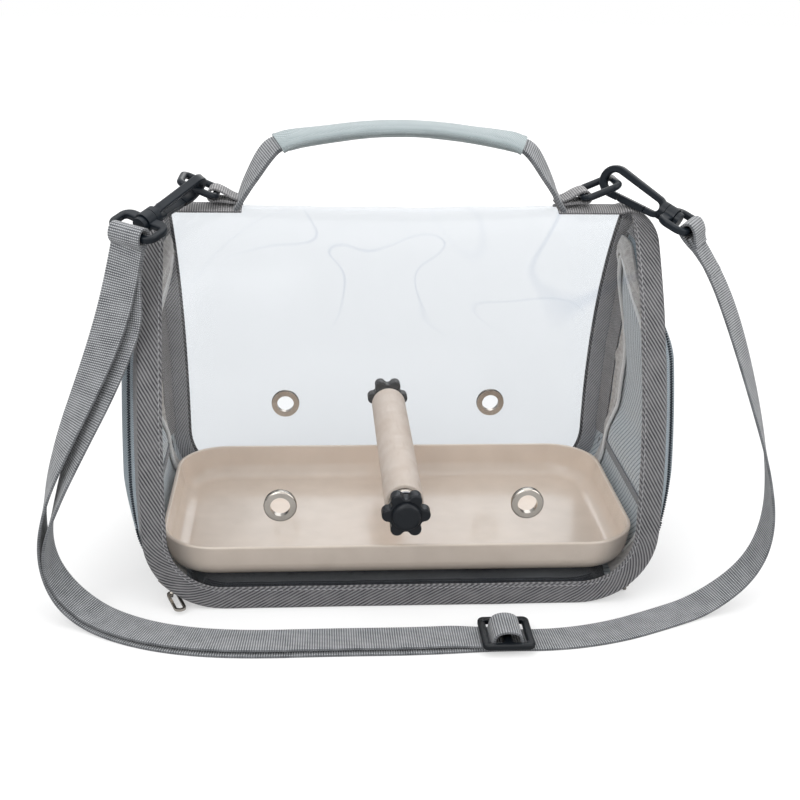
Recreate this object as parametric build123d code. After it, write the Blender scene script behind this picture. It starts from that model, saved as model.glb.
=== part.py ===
from build123d import *
import math
import os

# Bird travel carrier: a soft bag with a clear wrap, a tray, a perch, two zipped end doors and a
# clip-on shoulder strap. Millimetres, +Z up, front towards -Y, origin in the middle of the base.

# ---- Driving dimensions ----------------------------------------------------------------------
# Bag body
HALF_WIDTH = 138.0            # outer face of the end panels
HALF_DEPTH = 76.0             # front and back faces near the floor
BODY_HEIGHT = 204.5           # top of the ridge
WALL_RISE = 45.0              # upright stretch of the walls, below their lean
RIDGE_RADIUS = 22.0
CORNER_RADIUS = 42.0          # lower corners, seen from the front
TOP_CORNER_RADIUS = 15.0      # upper corners, seen from the front
WEBBING = 1.4                 # thickness of the edge webbing
SHEET = 0.8                   # thickness of the clear sheet
FABRIC = 1.2                  # thickness of the end and base fabric
EDGE_FACE_WIDTH = 13.0        # edge webbing seen on the front and back faces
EDGE_END_WIDTH = 9.0          # edge webbing seen on the ends
GAP = 0.3                     # clearance between separate soft pieces

# End doors and their zips
DOOR_SIDE_MARGIN = 14.0       # from the front face in to the zip line
DOOR_HALF_DEPTH = HALF_DEPTH - DOOR_SIDE_MARGIN
DOOR_TOP_MARGIN = 16.5        # from the ridge down to the zip line
DOOR_TOP = BODY_HEIGHT - DOOR_TOP_MARGIN
DOOR_TOP_RADIUS = 16.0
DOOR_FOOT = 43.6              # lower edge of the door cloth
COIL_WIDTH = 1.1              # one half of the zip coil
COIL_PROUD = 0.8              # coil beyond the outer face of the bag
COIL_FOOT = 44.2
TAPE_WIDTH = 6.0              # zip tape sewn to the door
MESH_THICKNESS = 0.6
BINDING_THICKNESS = 1.4
BINDING_START = 3.0
BINDING_WIDTH = 8.0
PIPING_WIDTH = 2.2
SILL_HEIGHT = 7.0
TAIL_ANGLE = 54.0             # end of the closed zip, down the corner arc
SLIDER_ANGLE = 46.0           # parked slider, measured down the corner arc
SLIDER_LENGTH = 9.5
SLIDER_WIDTH = 8.0
SLIDER_THICKNESS = 3.3
PULL_LENGTH = 21.0
PULL_WIDTH = 6.4
PULL_WIRE = 1.4
BAIL_HEIGHT = 3.0
BAIL_RADIUS = 2.6
BAIL_BORE = 1.5
BAIL_THICKNESS = 1.3
POST_WIDTH = 2.6
RIGHT_PULL_HEADING = 90.0     # way the pull points on the floor, degrees from +X
LEFT_PULL_HEADING = 250.0     # the same before mirroring

# Base board and tray
BOARD_TOP = 13.0
TRAY_END_ROOM = 7.0           # from the outer face of an end to the tray's rim
TRAY_FACE_ROOM = 6.5          # from the front face to the tray's rim
TRAY_LENGTH = 2 * (HALF_WIDTH - TRAY_END_ROOM)
TRAY_DEPTH = 2 * (HALF_DEPTH - TRAY_FACE_ROOM)
TRAY_HEIGHT = 20.5
TRAY_CORNER = 30.0
TRAY_WALL = 2.4
TRAY_DRAFT = 10.0             # lean of the tray wall, degrees
TRAY_FOOT_RADIUS = 11.0

# Eyelets, perch and star knobs
EYELET_SPACING = 65.2
EYELET_HEIGHT = 60.6
EYELET_RADIUS = 8.75
EYELET_BORE = 5.25
EYELET_BARREL = 0.65
FLANGE = 1.8
EYELET_WASHER = 0.9
PERCH_RADIUS = 10.5
STUD_RADIUS = 3.0
STUD_FIT = 0.1
STUD_GRIP = 16.0              # stud inside the perch
KNOB_RADIUS = 12.75
KNOB_LOBES = 6
LOBE_RADIUS = 3.5
KNOB_THICKNESS = 8.0
HUB_RADIUS = 6.6
HUB_HEIGHT = 3.0
CAP_RADIUS = 7.75
CAP_HEIGHT = 3.0
WASHER_RADIUS = 8.4
WASHER_THICKNESS = 1.2
SEAT_GAP = 0.15

# Handle, ridge tabs and side rings
STRAP_WIDTH = 20.0
HANDLE_THICKNESS = 2.2
ROOT_INSET = 49.5             # from the end of the bag to the handle's root
SHOULDER_INSET = 21.5         # from the root to the handle's shoulder
SHOULDER_RISE = 32.0          # shoulder above the ridge
CROWN_RISE = 42.0             # middle of the handle above the ridge
HANDLE_ROOT = HALF_WIDTH - ROOT_INSET
HANDLE_SHOULDER = (HANDLE_ROOT - SHOULDER_INSET, BODY_HEIGHT + SHOULDER_RISE)
HANDLE_TOP = BODY_HEIGHT + CROWN_RISE
GRIP_HALF_LENGTH = 66.0
GRIP_WIDTH = 27.0
GRIP_THICKNESS = 7.4
SHOULDER_RADIUS = 16.0
CROWN_RADIUS = 200.0
TAB_LEAD = 8.5                # sewn tab inside the handle's root
TAB_START = HANDLE_ROOT - TAB_LEAD
RING_WIRE = 1.9               # radius
RING_FROM_ROOT = 10.0         # bar held by the webbing loop, outward from the handle's root
RING_LIFT = 5.5               # that bar above the ridge
RING_BAR = HANDLE_ROOT + RING_FROM_ROOT
RING_BAR_HEIGHT = BODY_HEIGHT + RING_LIFT
RING_REACH = 19.5             # from bar to bar
RING_HALF_WIDTH = 12.0
RING_CORNER = 4.0
RING_TILT = 23.0
LOOP_WIDTH = 15.4
LOOP_TAIL = 9.3               # sewn tail of the loop, towards the handle

# Snap hooks and strap rings
NOSE_RADIUS = 8.8
NOSE_BORE = 5.0
THROAT_LENGTH = 26.0          # from the nose centre to the neck centre
NECK_RADIUS = 6.0
NECK_BORE = 2.7
HOOK_THICKNESS = 4.6
GATE_START = 5.5
GATE_END = 21.5
GATE_GAP = 0.3
GATE_PIVOT = 3.4               # hinge below the middle line of the hook
SHOULDER_END = 33.0
SWIVEL_RADIUS = 2.6
SWIVEL_CLEARANCE = 0.3
COLLAR_RADIUS = 5.2
COLLAR_LENGTH = 5.6
HEAD_RADIUS = 4.2
HEAD_LENGTH = 2.6
STRAP_BAR = 49.2              # strap ring's bar, from the nose centre
BAR_RADIUS = 1.9
RING_INNER_WIDTH = 22.6
RING_ARM = 3.6
RING_SHOULDER = 6.5           # outer corners of the strap ring
WINDOW_RADIUS = 1.2

# Shoulder strap
STRAP_THICKNESS = 1.4
EYE_BORE = 2.3
STATION = 12.0                # spacing of the strap's cross-sections
LAYER_GAP = 1.7               # between the middles of the two layers
ADJUSTER_X = 51.0
ADJUSTER_Y = -112.7
ADJUSTER_LENGTH = 27.0
ADJUSTER_WIDTH = 29.0
ADJUSTER_THICKNESS = 3.2
ADJUSTER_LIFT = 3.3
SLOT_LENGTH = 21.6
SLOT_WIDTH = 7.6
CENTRE_BAR = 4.2
ADJUSTER_ARCH = 4.8           # rise of the webbing over the centre bar

# Route of the strap's middle line, from the right ring round the front to the left ring, and the
# way its width points at each place.
STRAP_ROUTE = [
    ((153.9, -28.5, 195.0), (0.505, 0.86, 0.05)),
    ((164.5, -34.5, 179.0), (0.55, 0.83, 0.0)),
    ((176.3, -43.0, 151.8), (0.6, 0.8, 0.0)),
    ((187.8, -58.0, 112.1), (0.45, 0.89, 0.0)),
    ((196.5, -69.0, 76.0), (0.2, 0.98, 0.0)),
    ((198.5, -75.0, 45.0), (0.0, 1.0, 0.0)),
    ((189.0, -78.0, 20.0), (-0.1, 0.99, 0.0)),
    ((163.3, -82.5, 1.6), (-0.3, 0.95, 0.0)),
    ((137.3, -94.5, 0.7), (-0.43, 0.9, 0.0)),
    ((109.0, -107.0, 0.7), (-0.3, 0.95, 0.0)),
    ((78.0, -113.5, 0.7), (-0.08, 0.99, 0.0)),
    ((45.0, -112.5, 0.7), (0.0, 1.0, 0.0)),
    ((8.0, -115.0, 0.7), (-0.02, 1.0, 0.0)),
    ((-38.0, -114.5, 0.7), (0.0, 1.0, 0.0)),
    ((-84.0, -115.2, 0.7), (0.06, 0.99, 0.0)),
    ((-118.0, -110.3, 0.7), (0.25, 0.97, 0.0)),
    ((-145.0, -99.5, 0.7), (0.45, 0.89, 0.0)),
    ((-167.0, -85.0, 2.2), (0.42, 0.9, 0.0)),
    ((-182.0, -79.0, 15.0), (0.3, 0.95, 0.0)),
    ((-189.5, -76.0, 38.0), (0.1, 0.99, 0.0)),
    ((-186.8, -73.0, 64.4), (-0.15, 0.99, 0.0)),
    ((-175.5, -67.0, 95.0), (-0.5, 0.86, 0.0)),
    ((-162.0, -61.5, 124.0), (-0.75, 0.65, 0.0)),
    ((-150.5, -57.0, 152.0), (-0.9, 0.43, 0.0)),
    ((-143.0, -53.3, 178.0), (-0.88, 0.47, 0.1)),
    ((-139.3, -50.8, 196.8), (-0.815, 0.541, 0.207)),
]
RETURN_START = 49.5           # sewn end of the second layer, under the adjuster

# Way each snap hook lies: along its body, across its face, and along its strap ring's bar
RIGHT_HOOK_ALONG = (0.73, -0.555, -0.39)
RIGHT_HOOK_FACE = (-0.54, -0.84, 0.13)
RIGHT_BAR_WAY = (0.505, 0.86, 0.05)
LEFT_HOOK_ALONG = (-0.58, -0.76, -0.29)
LEFT_HOOK_FACE = (-0.746, 0.353, 0.565)
LEFT_BAR_WAY = (-0.815, 0.541, 0.207)
RIGHT_HOOK_SLACK = 0.6        # nose centre beyond the ring's wire, along the hook
LEFT_HOOK_SLACK = 1.0
LEFT_HOOK_PLACE = 11.8         # along the ring's near side, from the loop

BELOW = -20.0                 # under every piece
FAR = 400.0                   # beyond every piece
DOWN = (0, 0, -1)

os.makedirs("parts", exist_ok=True)


def save(name, shape):
    """Write one piece to its own file."""
    export_step(shape, f"parts/{name}.step")


# ---- Shapes that the bag is cut from ----------------------------------------------------------
def lean_radius(half_depth, top, crown):
    """Radius of the leaning side that meets both the upright foot and the round top."""
    climb = top - crown - WALL_RISE
    return (half_depth**2 + climb**2 - crown**2) / (2 * (half_depth - crown))


def arch_prism(half_depth, top, crown, floor):
    """Tent-shaped prism along X: upright feet, leaning arcs and a round top."""
    lean = lean_radius(half_depth, top, crown)
    centre_y = half_depth - lean
    crown_z = top - crown
    angle = math.degrees(math.atan2(crown_z - WALL_RISE, -centre_y))
    near = CenterArc((centre_y, WALL_RISE), lean, 0, angle)
    round_top = CenterArc((0, crown_z), crown, angle, 180 - 2 * angle)
    far = CenterArc((-centre_y, WALL_RISE), lean, 180 - angle, angle)
    corners = [(-half_depth, WALL_RISE), (-half_depth, floor), (half_depth, floor), (half_depth, WALL_RISE)]
    foot = Polyline(*corners)
    return extrude(Plane.YZ * make_face([near, round_top, far, foot]), amount=2 * HALF_WIDTH, both=True)


def body_arch(inset, floor=BELOW):
    """Side shape of the bag, moved in by inset."""
    return arch_prism(HALF_DEPTH - inset, BODY_HEIGHT - inset, RIDGE_RADIUS - inset, floor)


def door_arch(inset, floor=BELOW):
    """Side shape of the zip line, moved in by inset."""
    return arch_prism(DOOR_HALF_DEPTH - inset, DOOR_TOP - inset, DOOR_TOP_RADIUS - inset, floor)


def outline_prism(inset, open_top=False):
    """Front shape of the bag, moved in by inset: upright ends and round corners."""
    top = BODY_HEIGHT + CORNER_RADIUS if open_top else BODY_HEIGHT - inset
    block = slab(inset, top, inset - HALF_WIDTH, HALF_WIDTH - inset)
    block = fillet(block.edges().filter_by(Axis.Y).group_by(Axis.Z)[0], CORNER_RADIUS - inset)
    if open_top:
        return block
    return fillet(block.edges().filter_by(Axis.Y).group_by(Axis.Z)[-1], TOP_CORNER_RADIUS - inset)


def outline_layer(start, end):
    """Layer of the ends and base between two depths below the outer face."""
    return outline_prism(start) - outline_prism(end)


def slab(z_from, z_to, x_from=-FAR, x_to=FAR, y_from=-FAR, y_to=FAR):
    """Box between six planes, used to keep one stretch of a shape."""
    size = (x_to - x_from, y_to - y_from, z_to - z_from)
    middle = ((x_from + x_to) / 2, (y_from + y_to) / 2, (z_from + z_to) / 2)
    return Pos(*middle) * Box(*size)


def wall_y(height, inset):
    """Distance of the leaning wall from the middle plane at a height."""
    lean = lean_radius(HALF_DEPTH, BODY_HEIGHT, RIDGE_RADIUS)
    rise = height - WALL_RISE
    return HALF_DEPTH - lean + math.sqrt((lean - inset) ** 2 - rise**2)


def tube_along_y(radius, y_from, y_to, x=0.0, z=0.0):
    """Round bar along Y."""
    middle = (y_from + y_to) / 2
    return Pos(x, middle, z) * Rot(90, 0, 0) * Cylinder(radius, abs(y_to - y_from))


# ---- Bag --------------------------------------------------------------------------------------
def clear_wrap():
    """Clear sheet: front, over the ridge, and back, with a hole for each eyelet."""
    sheet = outline_prism(WEBBING) & (body_arch(WEBBING) - body_arch(WEBBING + SHEET))
    for x in (-EYELET_SPACING, 0, EYELET_SPACING):
        sheet -= tube_along_y(EYELET_BORE + EYELET_BARREL, -HALF_DEPTH, HALF_DEPTH, x, EYELET_HEIGHT)
    return sheet


def edge_webbing():
    """Webbing that binds both long edges, as an angle section all the way round."""
    shell = (outline_prism(0) & body_arch(0)) - (outline_prism(WEBBING) & body_arch(WEBBING))
    return shell - outline_prism(EDGE_FACE_WIDTH, open_top=True) - body_arch(EDGE_END_WIDTH)


def base_gusset(zip_tails):
    """Trough of fabric: the base and both lower corners, up to the doors' fold lines."""
    outer = outline_layer(0, WEBBING) & body_arch(EDGE_END_WIDTH)
    lining = outline_layer(WEBBING, WEBBING + FABRIC) & body_arch(WEBBING + SHEET)
    return ((outer - zip_tails) + lining) & slab(BELOW, DOOR_FOOT - WEBBING)


def base_board():
    """Stiff padded board that lies in the trough."""
    inset = WEBBING + FABRIC + GAP
    return outline_prism(inset) & body_arch(WEBBING + SHEET + GAP) & slab(0, BOARD_TOP)


def fixed_zip_tape():
    """End fabric between the bound edge and the zip, as one arch on each end."""
    ring = body_arch(WEBBING + SHEET) - door_arch(-GAP / 2)
    return outline_layer(WEBBING, WEBBING + FABRIC) & ring & slab(DOOR_FOOT - WEBBING, BODY_HEIGHT)


def coil_arch(outer, inner):
    """Strip of zip coil that follows the zip line between two insets."""
    ring = door_arch(outer) - door_arch(inner)
    return outline_layer(-COIL_PROUD, WEBBING) & ring


def corner_wedge(side, from_angle, to_angle):
    """Sector of the corner arc, in degrees below level, on one side of the bag."""
    centre_x = HALF_WIDTH - CORNER_RADIUS
    reach = 2 * CORNER_RADIUS
    points = [(centre_x, CORNER_RADIUS)]
    for angle in (from_angle, to_angle):
        turn = math.radians(angle)
        points.append((centre_x + reach * math.cos(turn), CORNER_RADIUS - reach * math.sin(turn)))
    face = make_face(Polyline(*points, close=True))
    wedge = extrude(Plane.XZ * face, amount=2 * HALF_DEPTH, both=True)
    return wedge if side > 0 else mirror(wedge, about=Plane.YZ)


def zip_tail():
    """Closed zip below the door, down the front of the right lower corner."""
    strip = slab(BELOW, DOOR_FOOT, y_from=-DOOR_HALF_DEPTH - COIL_WIDTH, y_to=-DOOR_HALF_DEPTH + COIL_WIDTH)
    upright = slab(CORNER_RADIUS, DOOR_FOOT - GAP, x_from=0)
    return outline_layer(-COIL_PROUD, WEBBING) & strip & (corner_wedge(1, 0, TAIL_ANGLE) + upright)


def slider():
    """Zip slider on the right corner, with the bail that holds its pull."""
    half_turn = math.degrees(SLIDER_LENGTH / 2 / CORNER_RADIUS)
    start = -COIL_PROUD - GAP
    wedge = corner_wedge(1, SLIDER_ANGLE - half_turn, SLIDER_ANGLE + half_turn)
    front, back = -DOOR_HALF_DEPTH - SLIDER_WIDTH / 2, -DOOR_HALF_DEPTH + SLIDER_WIDTH / 2
    strip = slab(BELOW, CORNER_RADIUS, y_from=front, y_to=back)
    block = outline_layer(start - SLIDER_THICKNESS, start) & wedge & strip
    bail_x, bail_z = bail_place()
    across_x = Pos(bail_x, -DOOR_HALF_DEPTH, bail_z) * Rot(0, 90, 0)
    post_top = bail_z + BAIL_RADIUS + SLIDER_THICKNESS
    post = Pos(bail_x, -DOOR_HALF_DEPTH, (bail_z + BAIL_BORE + post_top) / 2)
    post *= Box(BAIL_THICKNESS, POST_WIDTH, post_top - bail_z - BAIL_BORE)
    bail = across_x * Cylinder(BAIL_RADIUS, BAIL_THICKNESS) + post
    return block + (bail - across_x * Cylinder(BAIL_BORE, 3 * BAIL_THICKNESS))


def bail_place():
    """Middle of the bail below the parked slider."""
    turn = math.radians(SLIDER_ANGLE)
    return HALF_WIDTH - CORNER_RADIUS + CORNER_RADIUS * math.cos(turn), BAIL_HEIGHT


def pull(heading):
    """Wire pull, a long closed link lying out from the bail."""
    bail_x, bail_z = bail_place()
    link = RectangleRounded(PULL_LENGTH, PULL_WIDTH, PULL_WIDTH / 2 - 0.2)
    link -= RectangleRounded(
        PULL_LENGTH - 2 * PULL_WIRE, PULL_WIDTH - 2 * PULL_WIRE, PULL_WIDTH / 2 - PULL_WIRE - 0.2
    )
    wire = extrude(link, amount=PULL_WIRE / 2, both=True)
    wire = Pos((PULL_LENGTH - PULL_WIRE) / 2, 0, 0) * wire
    return Pos(bail_x, -DOOR_HALF_DEPTH, bail_z) * Rot(0, 0, heading) * wire


def right_end(shape):
    return shape & slab(BELOW, FAR, x_from=0)


def left_of(shape):
    return mirror(shape, about=Plane.YZ)


def door_pieces():
    """Cloth pieces of the right door, each in its own layer."""
    above_foot = slab(DOOR_FOOT, BODY_HEIGHT, x_from=0)
    inner_face = WEBBING + FABRIC
    tape_ring = door_arch(GAP / 2) - door_arch(TAPE_WIDTH)
    binding_ring = door_arch(BINDING_START) - door_arch(BINDING_START + BINDING_WIDTH)
    piping_start = BINDING_START + BINDING_WIDTH
    piping_ring = door_arch(piping_start) - door_arch(piping_start + PIPING_WIDTH)
    mesh_start = WEBBING + (FABRIC - MESH_THICKNESS) / 2
    net_layer = outline_layer(mesh_start, mesh_start + MESH_THICKNESS)
    binding_layer = outline_layer(inner_face, inner_face + BINDING_THICKNESS)
    return {
        "door_tape": outline_layer(WEBBING, inner_face) & tape_ring & above_foot,
        "door_coil": coil_arch(GAP / 2, GAP / 2 + COIL_WIDTH) & slab(COIL_FOOT, BODY_HEIGHT, x_from=0),
        "door_mesh": net_layer & door_arch(TAPE_WIDTH) & above_foot,
        "door_binding": binding_layer & binding_ring & above_foot,
        "door_piping": outline_layer(inner_face, inner_face + PIPING_WIDTH) & piping_ring & above_foot,
        "door_sill": outline_layer(0, WEBBING)
        & door_arch(GAP + COIL_WIDTH + GAP)
        & slab(DOOR_FOOT, DOOR_FOOT + SILL_HEIGHT, x_from=0),
    }


def ridge_tab():
    """Webbing sewn along the ridge, from the handle's root out to the bound edge."""
    layer = body_arch(0) - body_arch(WEBBING)
    half, tab_end = STRAP_WIDTH / 2, HALF_WIDTH - EDGE_FACE_WIDTH
    return layer & slab(BODY_HEIGHT / 2, 2 * BODY_HEIGHT, TAB_START, tab_end, -half, half)


# ---- Tray, eyelets, perch and knobs -----------------------------------------------------------
def tray():
    """Deep tray with leaning walls and a round foot."""
    floor_z = BOARD_TOP + GAP
    rim = Pos(0, 0, floor_z + TRAY_HEIGHT)
    outer = rim * RectangleRounded(TRAY_LENGTH, TRAY_DEPTH, TRAY_CORNER)
    outer = extrude(outer, TRAY_HEIGHT, DOWN, taper=TRAY_DRAFT)
    outer = fillet(outer.edges().group_by(Axis.Z)[0], TRAY_FOOT_RADIUS)
    inner_size = (TRAY_LENGTH - 2 * TRAY_WALL, TRAY_DEPTH - 2 * TRAY_WALL)
    inner = rim * RectangleRounded(*inner_size, TRAY_CORNER - TRAY_WALL)
    inner = extrude(inner, TRAY_HEIGHT - TRAY_WALL, DOWN, taper=TRAY_DRAFT)
    inner = fillet(inner.edges().group_by(Axis.Z)[0], TRAY_FOOT_RADIUS - TRAY_WALL)
    bowl = outer - inner
    return fillet(bowl.edges().group_by(Axis.Z)[-1], TRAY_WALL * 0.4)


def eyelet(x):
    """Front eyelet: rolled flange outside, barrel through the sheet, washer inside."""
    face = -wall_y(EYELET_HEIGHT, WEBBING)
    back = -wall_y(EYELET_HEIGHT, WEBBING + SHEET)
    middle = (face + back) / 2
    flange = tube_along_y(EYELET_RADIUS, middle, face - FLANGE, x, EYELET_HEIGHT)
    flange = fillet(flange.edges().group_by(Axis.Y)[0], FLANGE * 0.7)
    barrel_radius = EYELET_BORE + EYELET_BARREL
    barrel = tube_along_y(barrel_radius, face - FLANGE / 2, back + EYELET_WASHER, x, EYELET_HEIGHT)
    washer = tube_along_y(EYELET_RADIUS - 0.2, middle, back + EYELET_WASHER, x, EYELET_HEIGHT)
    bore = tube_along_y(EYELET_BORE, face - 2 * FLANGE, back + 2 * EYELET_WASHER, x, EYELET_HEIGHT)
    sheet = body_arch(WEBBING) - body_arch(WEBBING + SHEET)
    return ((flange + washer) - sheet) + barrel - bore


def perch():
    """Round wooden bar between the inner eyelet washers, bored for a stud at each end."""
    half_length = perch_end()
    bar = tube_along_y(PERCH_RADIUS, -half_length, half_length, 0, EYELET_HEIGHT)
    bar = fillet(bar.edges(), 0.8)
    for way in (-1, 1):
        depth = half_length - STUD_GRIP - 1
        bar -= tube_along_y(STUD_RADIUS + STUD_FIT, way * depth, way * (half_length + 1), 0, EYELET_HEIGHT)
    return bar


def perch_end():
    return wall_y(EYELET_HEIGHT, WEBBING + SHEET) - EYELET_WASHER - SEAT_GAP


def knob_pieces():
    """Front star knob, its washer and its stud, seated on the middle eyelet."""
    washer_y = -wall_y(EYELET_HEIGHT, WEBBING) - FLANGE - SEAT_GAP
    hub_y = washer_y - WASHER_THICKNESS - SEAT_GAP
    star_y = hub_y - HUB_HEIGHT
    cap_y = star_y - KNOB_THICKNESS
    washer = tube_along_y(WASHER_RADIUS, washer_y, washer_y - WASHER_THICKNESS, 0, EYELET_HEIGHT)
    washer -= tube_along_y(STUD_RADIUS + GAP, washer_y + 1, washer_y - 2 * WASHER_THICKNESS, 0, EYELET_HEIGHT)
    lobe_circle = KNOB_RADIUS - LOBE_RADIUS
    star = Circle(lobe_circle) + PolarLocations(lobe_circle, KNOB_LOBES) * Circle(LOBE_RADIUS)
    star = fillet(star.vertices(), 1.6)
    body = extrude(Pos(0, star_y, EYELET_HEIGHT) * Rot(90, 0, 0) * star, KNOB_THICKNESS)
    body = fillet(body.edges().group_by(Axis.Y)[0] + body.edges().group_by(Axis.Y)[-1], 1.0)
    hub = tube_along_y(HUB_RADIUS, hub_y, star_y - 1, 0, EYELET_HEIGHT)
    cap = tube_along_y(CAP_RADIUS, cap_y + 1, cap_y - CAP_HEIGHT, 0, EYELET_HEIGHT)
    cap = fillet(cap.edges().group_by(Axis.Y)[0], CAP_HEIGHT * 0.8)
    knob = body + hub + cap
    stud_top = hub_y - HUB_HEIGHT
    knob -= tube_along_y(STUD_RADIUS, hub_y + 1, stud_top, 0, EYELET_HEIGHT)
    stud = tube_along_y(STUD_RADIUS, stud_top, -perch_end() + STUD_GRIP, 0, EYELET_HEIGHT)
    return {"star_knob": knob, "knob_washer": washer, "knob_stud": stud}


# ---- Handle and side rings --------------------------------------------------------------------
def handle_path():
    shoulder_x, shoulder_z = HANDLE_SHOULDER
    root_z = BODY_HEIGHT - 3
    points = [(-HANDLE_ROOT, 0, root_z), (-shoulder_x, 0, shoulder_z), (0, 0, HANDLE_TOP)]
    points += [(shoulder_x, 0, shoulder_z), (HANDLE_ROOT, 0, root_z)]
    return FilletPolyline(*points, radius=[SHOULDER_RADIUS, CROWN_RADIUS, SHOULDER_RADIUS])


def along_handle(section):
    """Solid with the same section all along the handle."""
    path = handle_path()
    start = Plane(origin=path @ 0, x_dir=(0, 1, 0), z_dir=path % 0)
    return sweep(start * section, path=path)


def handle_axis_height():
    return BODY_HEIGHT + STRAP_WIDTH / 2 + GAP


def handle_strap():
    """Webbing of the handle; its lower ends are round about the fold line."""
    band = along_handle(Rectangle(STRAP_WIDTH, HANDLE_THICKNESS))
    axis_z = handle_axis_height()
    turning_end = Pos(0, 0, axis_z) * Rot(0, 90, 0) * Cylinder(STRAP_WIDTH / 2, 4 * HALF_WIDTH)
    return band & (slab(axis_z, 2 * BODY_HEIGHT) + turning_end)


def handle_grip():
    """Padded sleeve round the middle of the handle."""
    sleeve = along_handle(RectangleRounded(GRIP_WIDTH, GRIP_THICKNESS, GRIP_THICKNESS * 0.42))
    sleeve -= along_handle(Rectangle(STRAP_WIDTH + GAP, HANDLE_THICKNESS + GAP))
    return sleeve & slab(BODY_HEIGHT, 2 * BODY_HEIGHT, -GRIP_HALF_LENGTH, GRIP_HALF_LENGTH)


def ring_plane():
    """Plane of the right side ring, at its held bar, with X out along the ring."""
    tilt = math.radians(RING_TILT)
    out = (math.cos(tilt), 0, math.sin(tilt))
    return Plane(origin=(RING_BAR, 0, RING_BAR_HEIGHT), x_dir=out, z_dir=(-math.sin(tilt), 0, math.cos(tilt)))


def side_ring():
    """Moulded ring of round wire, held by its inner bar."""
    width = 2 * RING_HALF_WIDTH
    loop = Pos(RING_REACH / 2, 0) * RectangleRounded(RING_REACH, width, RING_CORNER)
    path = (ring_plane() * loop).face().outer_wire()
    start = Plane(origin=path @ 0.5, z_dir=path % 0.5)
    return sweep(start * Circle(RING_WIRE), path=path)


def ring_loop():
    """Webbing loop that holds the ring's inner bar and is sewn down on the ridge tab."""
    bore = RING_WIRE + GAP
    outside = bore + WEBBING
    centre = Pos(RING_BAR, 0, RING_BAR_HEIGHT)
    sleeve = centre * Rot(90, 0, 0) * Cylinder(outside, LOOP_WIDTH)
    sewn = (RING_BAR - LOOP_TAIL, 0, BODY_HEIGHT + WEBBING / 2 + GAP / 2)
    raised = (RING_BAR - outside, 0, BODY_HEIGHT + 1.5 * WEBBING + GAP)
    taken_up = (RING_BAR, 0, RING_BAR_HEIGHT - bore - WEBBING / 2)
    path = Polyline(sewn, raised, taken_up)
    start = Plane(origin=path @ 0, x_dir=(0, 1, 0), z_dir=path % 0)
    strip = sweep(start * Rectangle(LOOP_WIDTH, WEBBING), path=path, transition=Transition.RIGHT)
    return sleeve + strip - centre * Rot(90, 0, 0) * Cylinder(bore, 2 * LOOP_WIDTH)


# ---- Snap hooks -------------------------------------------------------------------------------
def hull_of(first_radius, second_radius):
    near = Circle(first_radius).edges()
    far = (Pos(THROAT_LENGTH, 0) * Circle(second_radius)).edges()
    return make_hull(near + far)


def bar_ahead(radius, x_from, x_to):
    """Round bar along the hook's own X."""
    return Pos((x_from + x_to) / 2, 0, 0) * Rot(0, 90, 0) * Cylinder(radius, x_to - x_from)


def gate_window(gap):
    length = GATE_END - GATE_START - 2 * gap
    return Pos((GATE_START + GATE_END) / 2, -NOSE_RADIUS) * Rectangle(length, 2 * NOSE_RADIUS - 2)


def hook_body():
    """Hook with its nose at the local origin and its body along X: frame, neck, swivel stem."""
    frame = hull_of(NOSE_RADIUS, NECK_RADIUS) - hull_of(NOSE_BORE, NECK_BORE) - gate_window(0)
    frame = extrude(frame, HOOK_THICKNESS / 2, both=True)
    frame = chamfer(frame.edges().filter_by(Plane.XY), 0.6)
    neck_from = THROAT_LENGTH + NECK_BORE + 1
    neck = bar_ahead(COLLAR_RADIUS, neck_from, SHOULDER_END)
    stem_length = COLLAR_LENGTH + 2 * SWIVEL_CLEARANCE + HEAD_LENGTH
    stem_end = SHOULDER_END + stem_length
    stem = bar_ahead(SWIVEL_RADIUS, SHOULDER_END, stem_end)
    head = bar_ahead(HEAD_RADIUS, stem_end - HEAD_LENGTH, stem_end)
    return frame + neck + stem + head


def hook_gate():
    """Sprung gate that closes the hook's lower side. Its free end is round about its hinge."""
    shape = (hull_of(NOSE_RADIUS, NECK_RADIUS) - hull_of(NOSE_BORE, NECK_BORE)) & gate_window(GATE_GAP)
    swing = Pos(GATE_END - GATE_GAP, -GATE_PIVOT) * Circle(GATE_END - GATE_START - 2 * GATE_GAP)
    return extrude(shape & swing, HOOK_THICKNESS / 2 - 0.4, both=True)


def strap_ring():
    """D-shaped ring that turns on the hook's stem; local Y runs along its bar."""
    start = SHOULDER_END + SWIVEL_CLEARANCE
    outer_end = STRAP_BAR + BAR_RADIUS
    outer_width = RING_INNER_WIDTH + 2 * RING_ARM
    outer = Pos((start + outer_end) / 2, 0) * RectangleRounded(outer_end - start, outer_width, RING_SHOULDER)
    window_from = start + COLLAR_LENGTH
    window_to = STRAP_BAR - BAR_RADIUS
    window = RectangleRounded(window_to - window_from, RING_INNER_WIDTH, WINDOW_RADIUS)
    window = Pos((window_from + window_to) / 2, 0) * window
    ring = extrude(outer - window, BAR_RADIUS, both=True)
    ring = fillet(ring.edges().filter_by(Plane.XY), BAR_RADIUS * 0.6)
    collar = bar_ahead(COLLAR_RADIUS, start, start + COLLAR_LENGTH)
    bore = bar_ahead(SWIVEL_RADIUS + STUD_FIT, start - 1, start + COLLAR_LENGTH + 1)
    return ring + collar - bore


def hook_planes(along, face, bar_way, nose):
    """Local planes of one hook and of its strap ring."""
    along = Vector(*along).normalized()
    face = (Vector(*face) - along * Vector(*face).dot(along)).normalized()
    bar = (Vector(*bar_way) - along * Vector(*bar_way).dot(along)).normalized()
    ring = Plane(origin=nose, x_dir=along, z_dir=along.cross(bar))
    return Plane(origin=nose, x_dir=along, z_dir=face), ring


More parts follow.
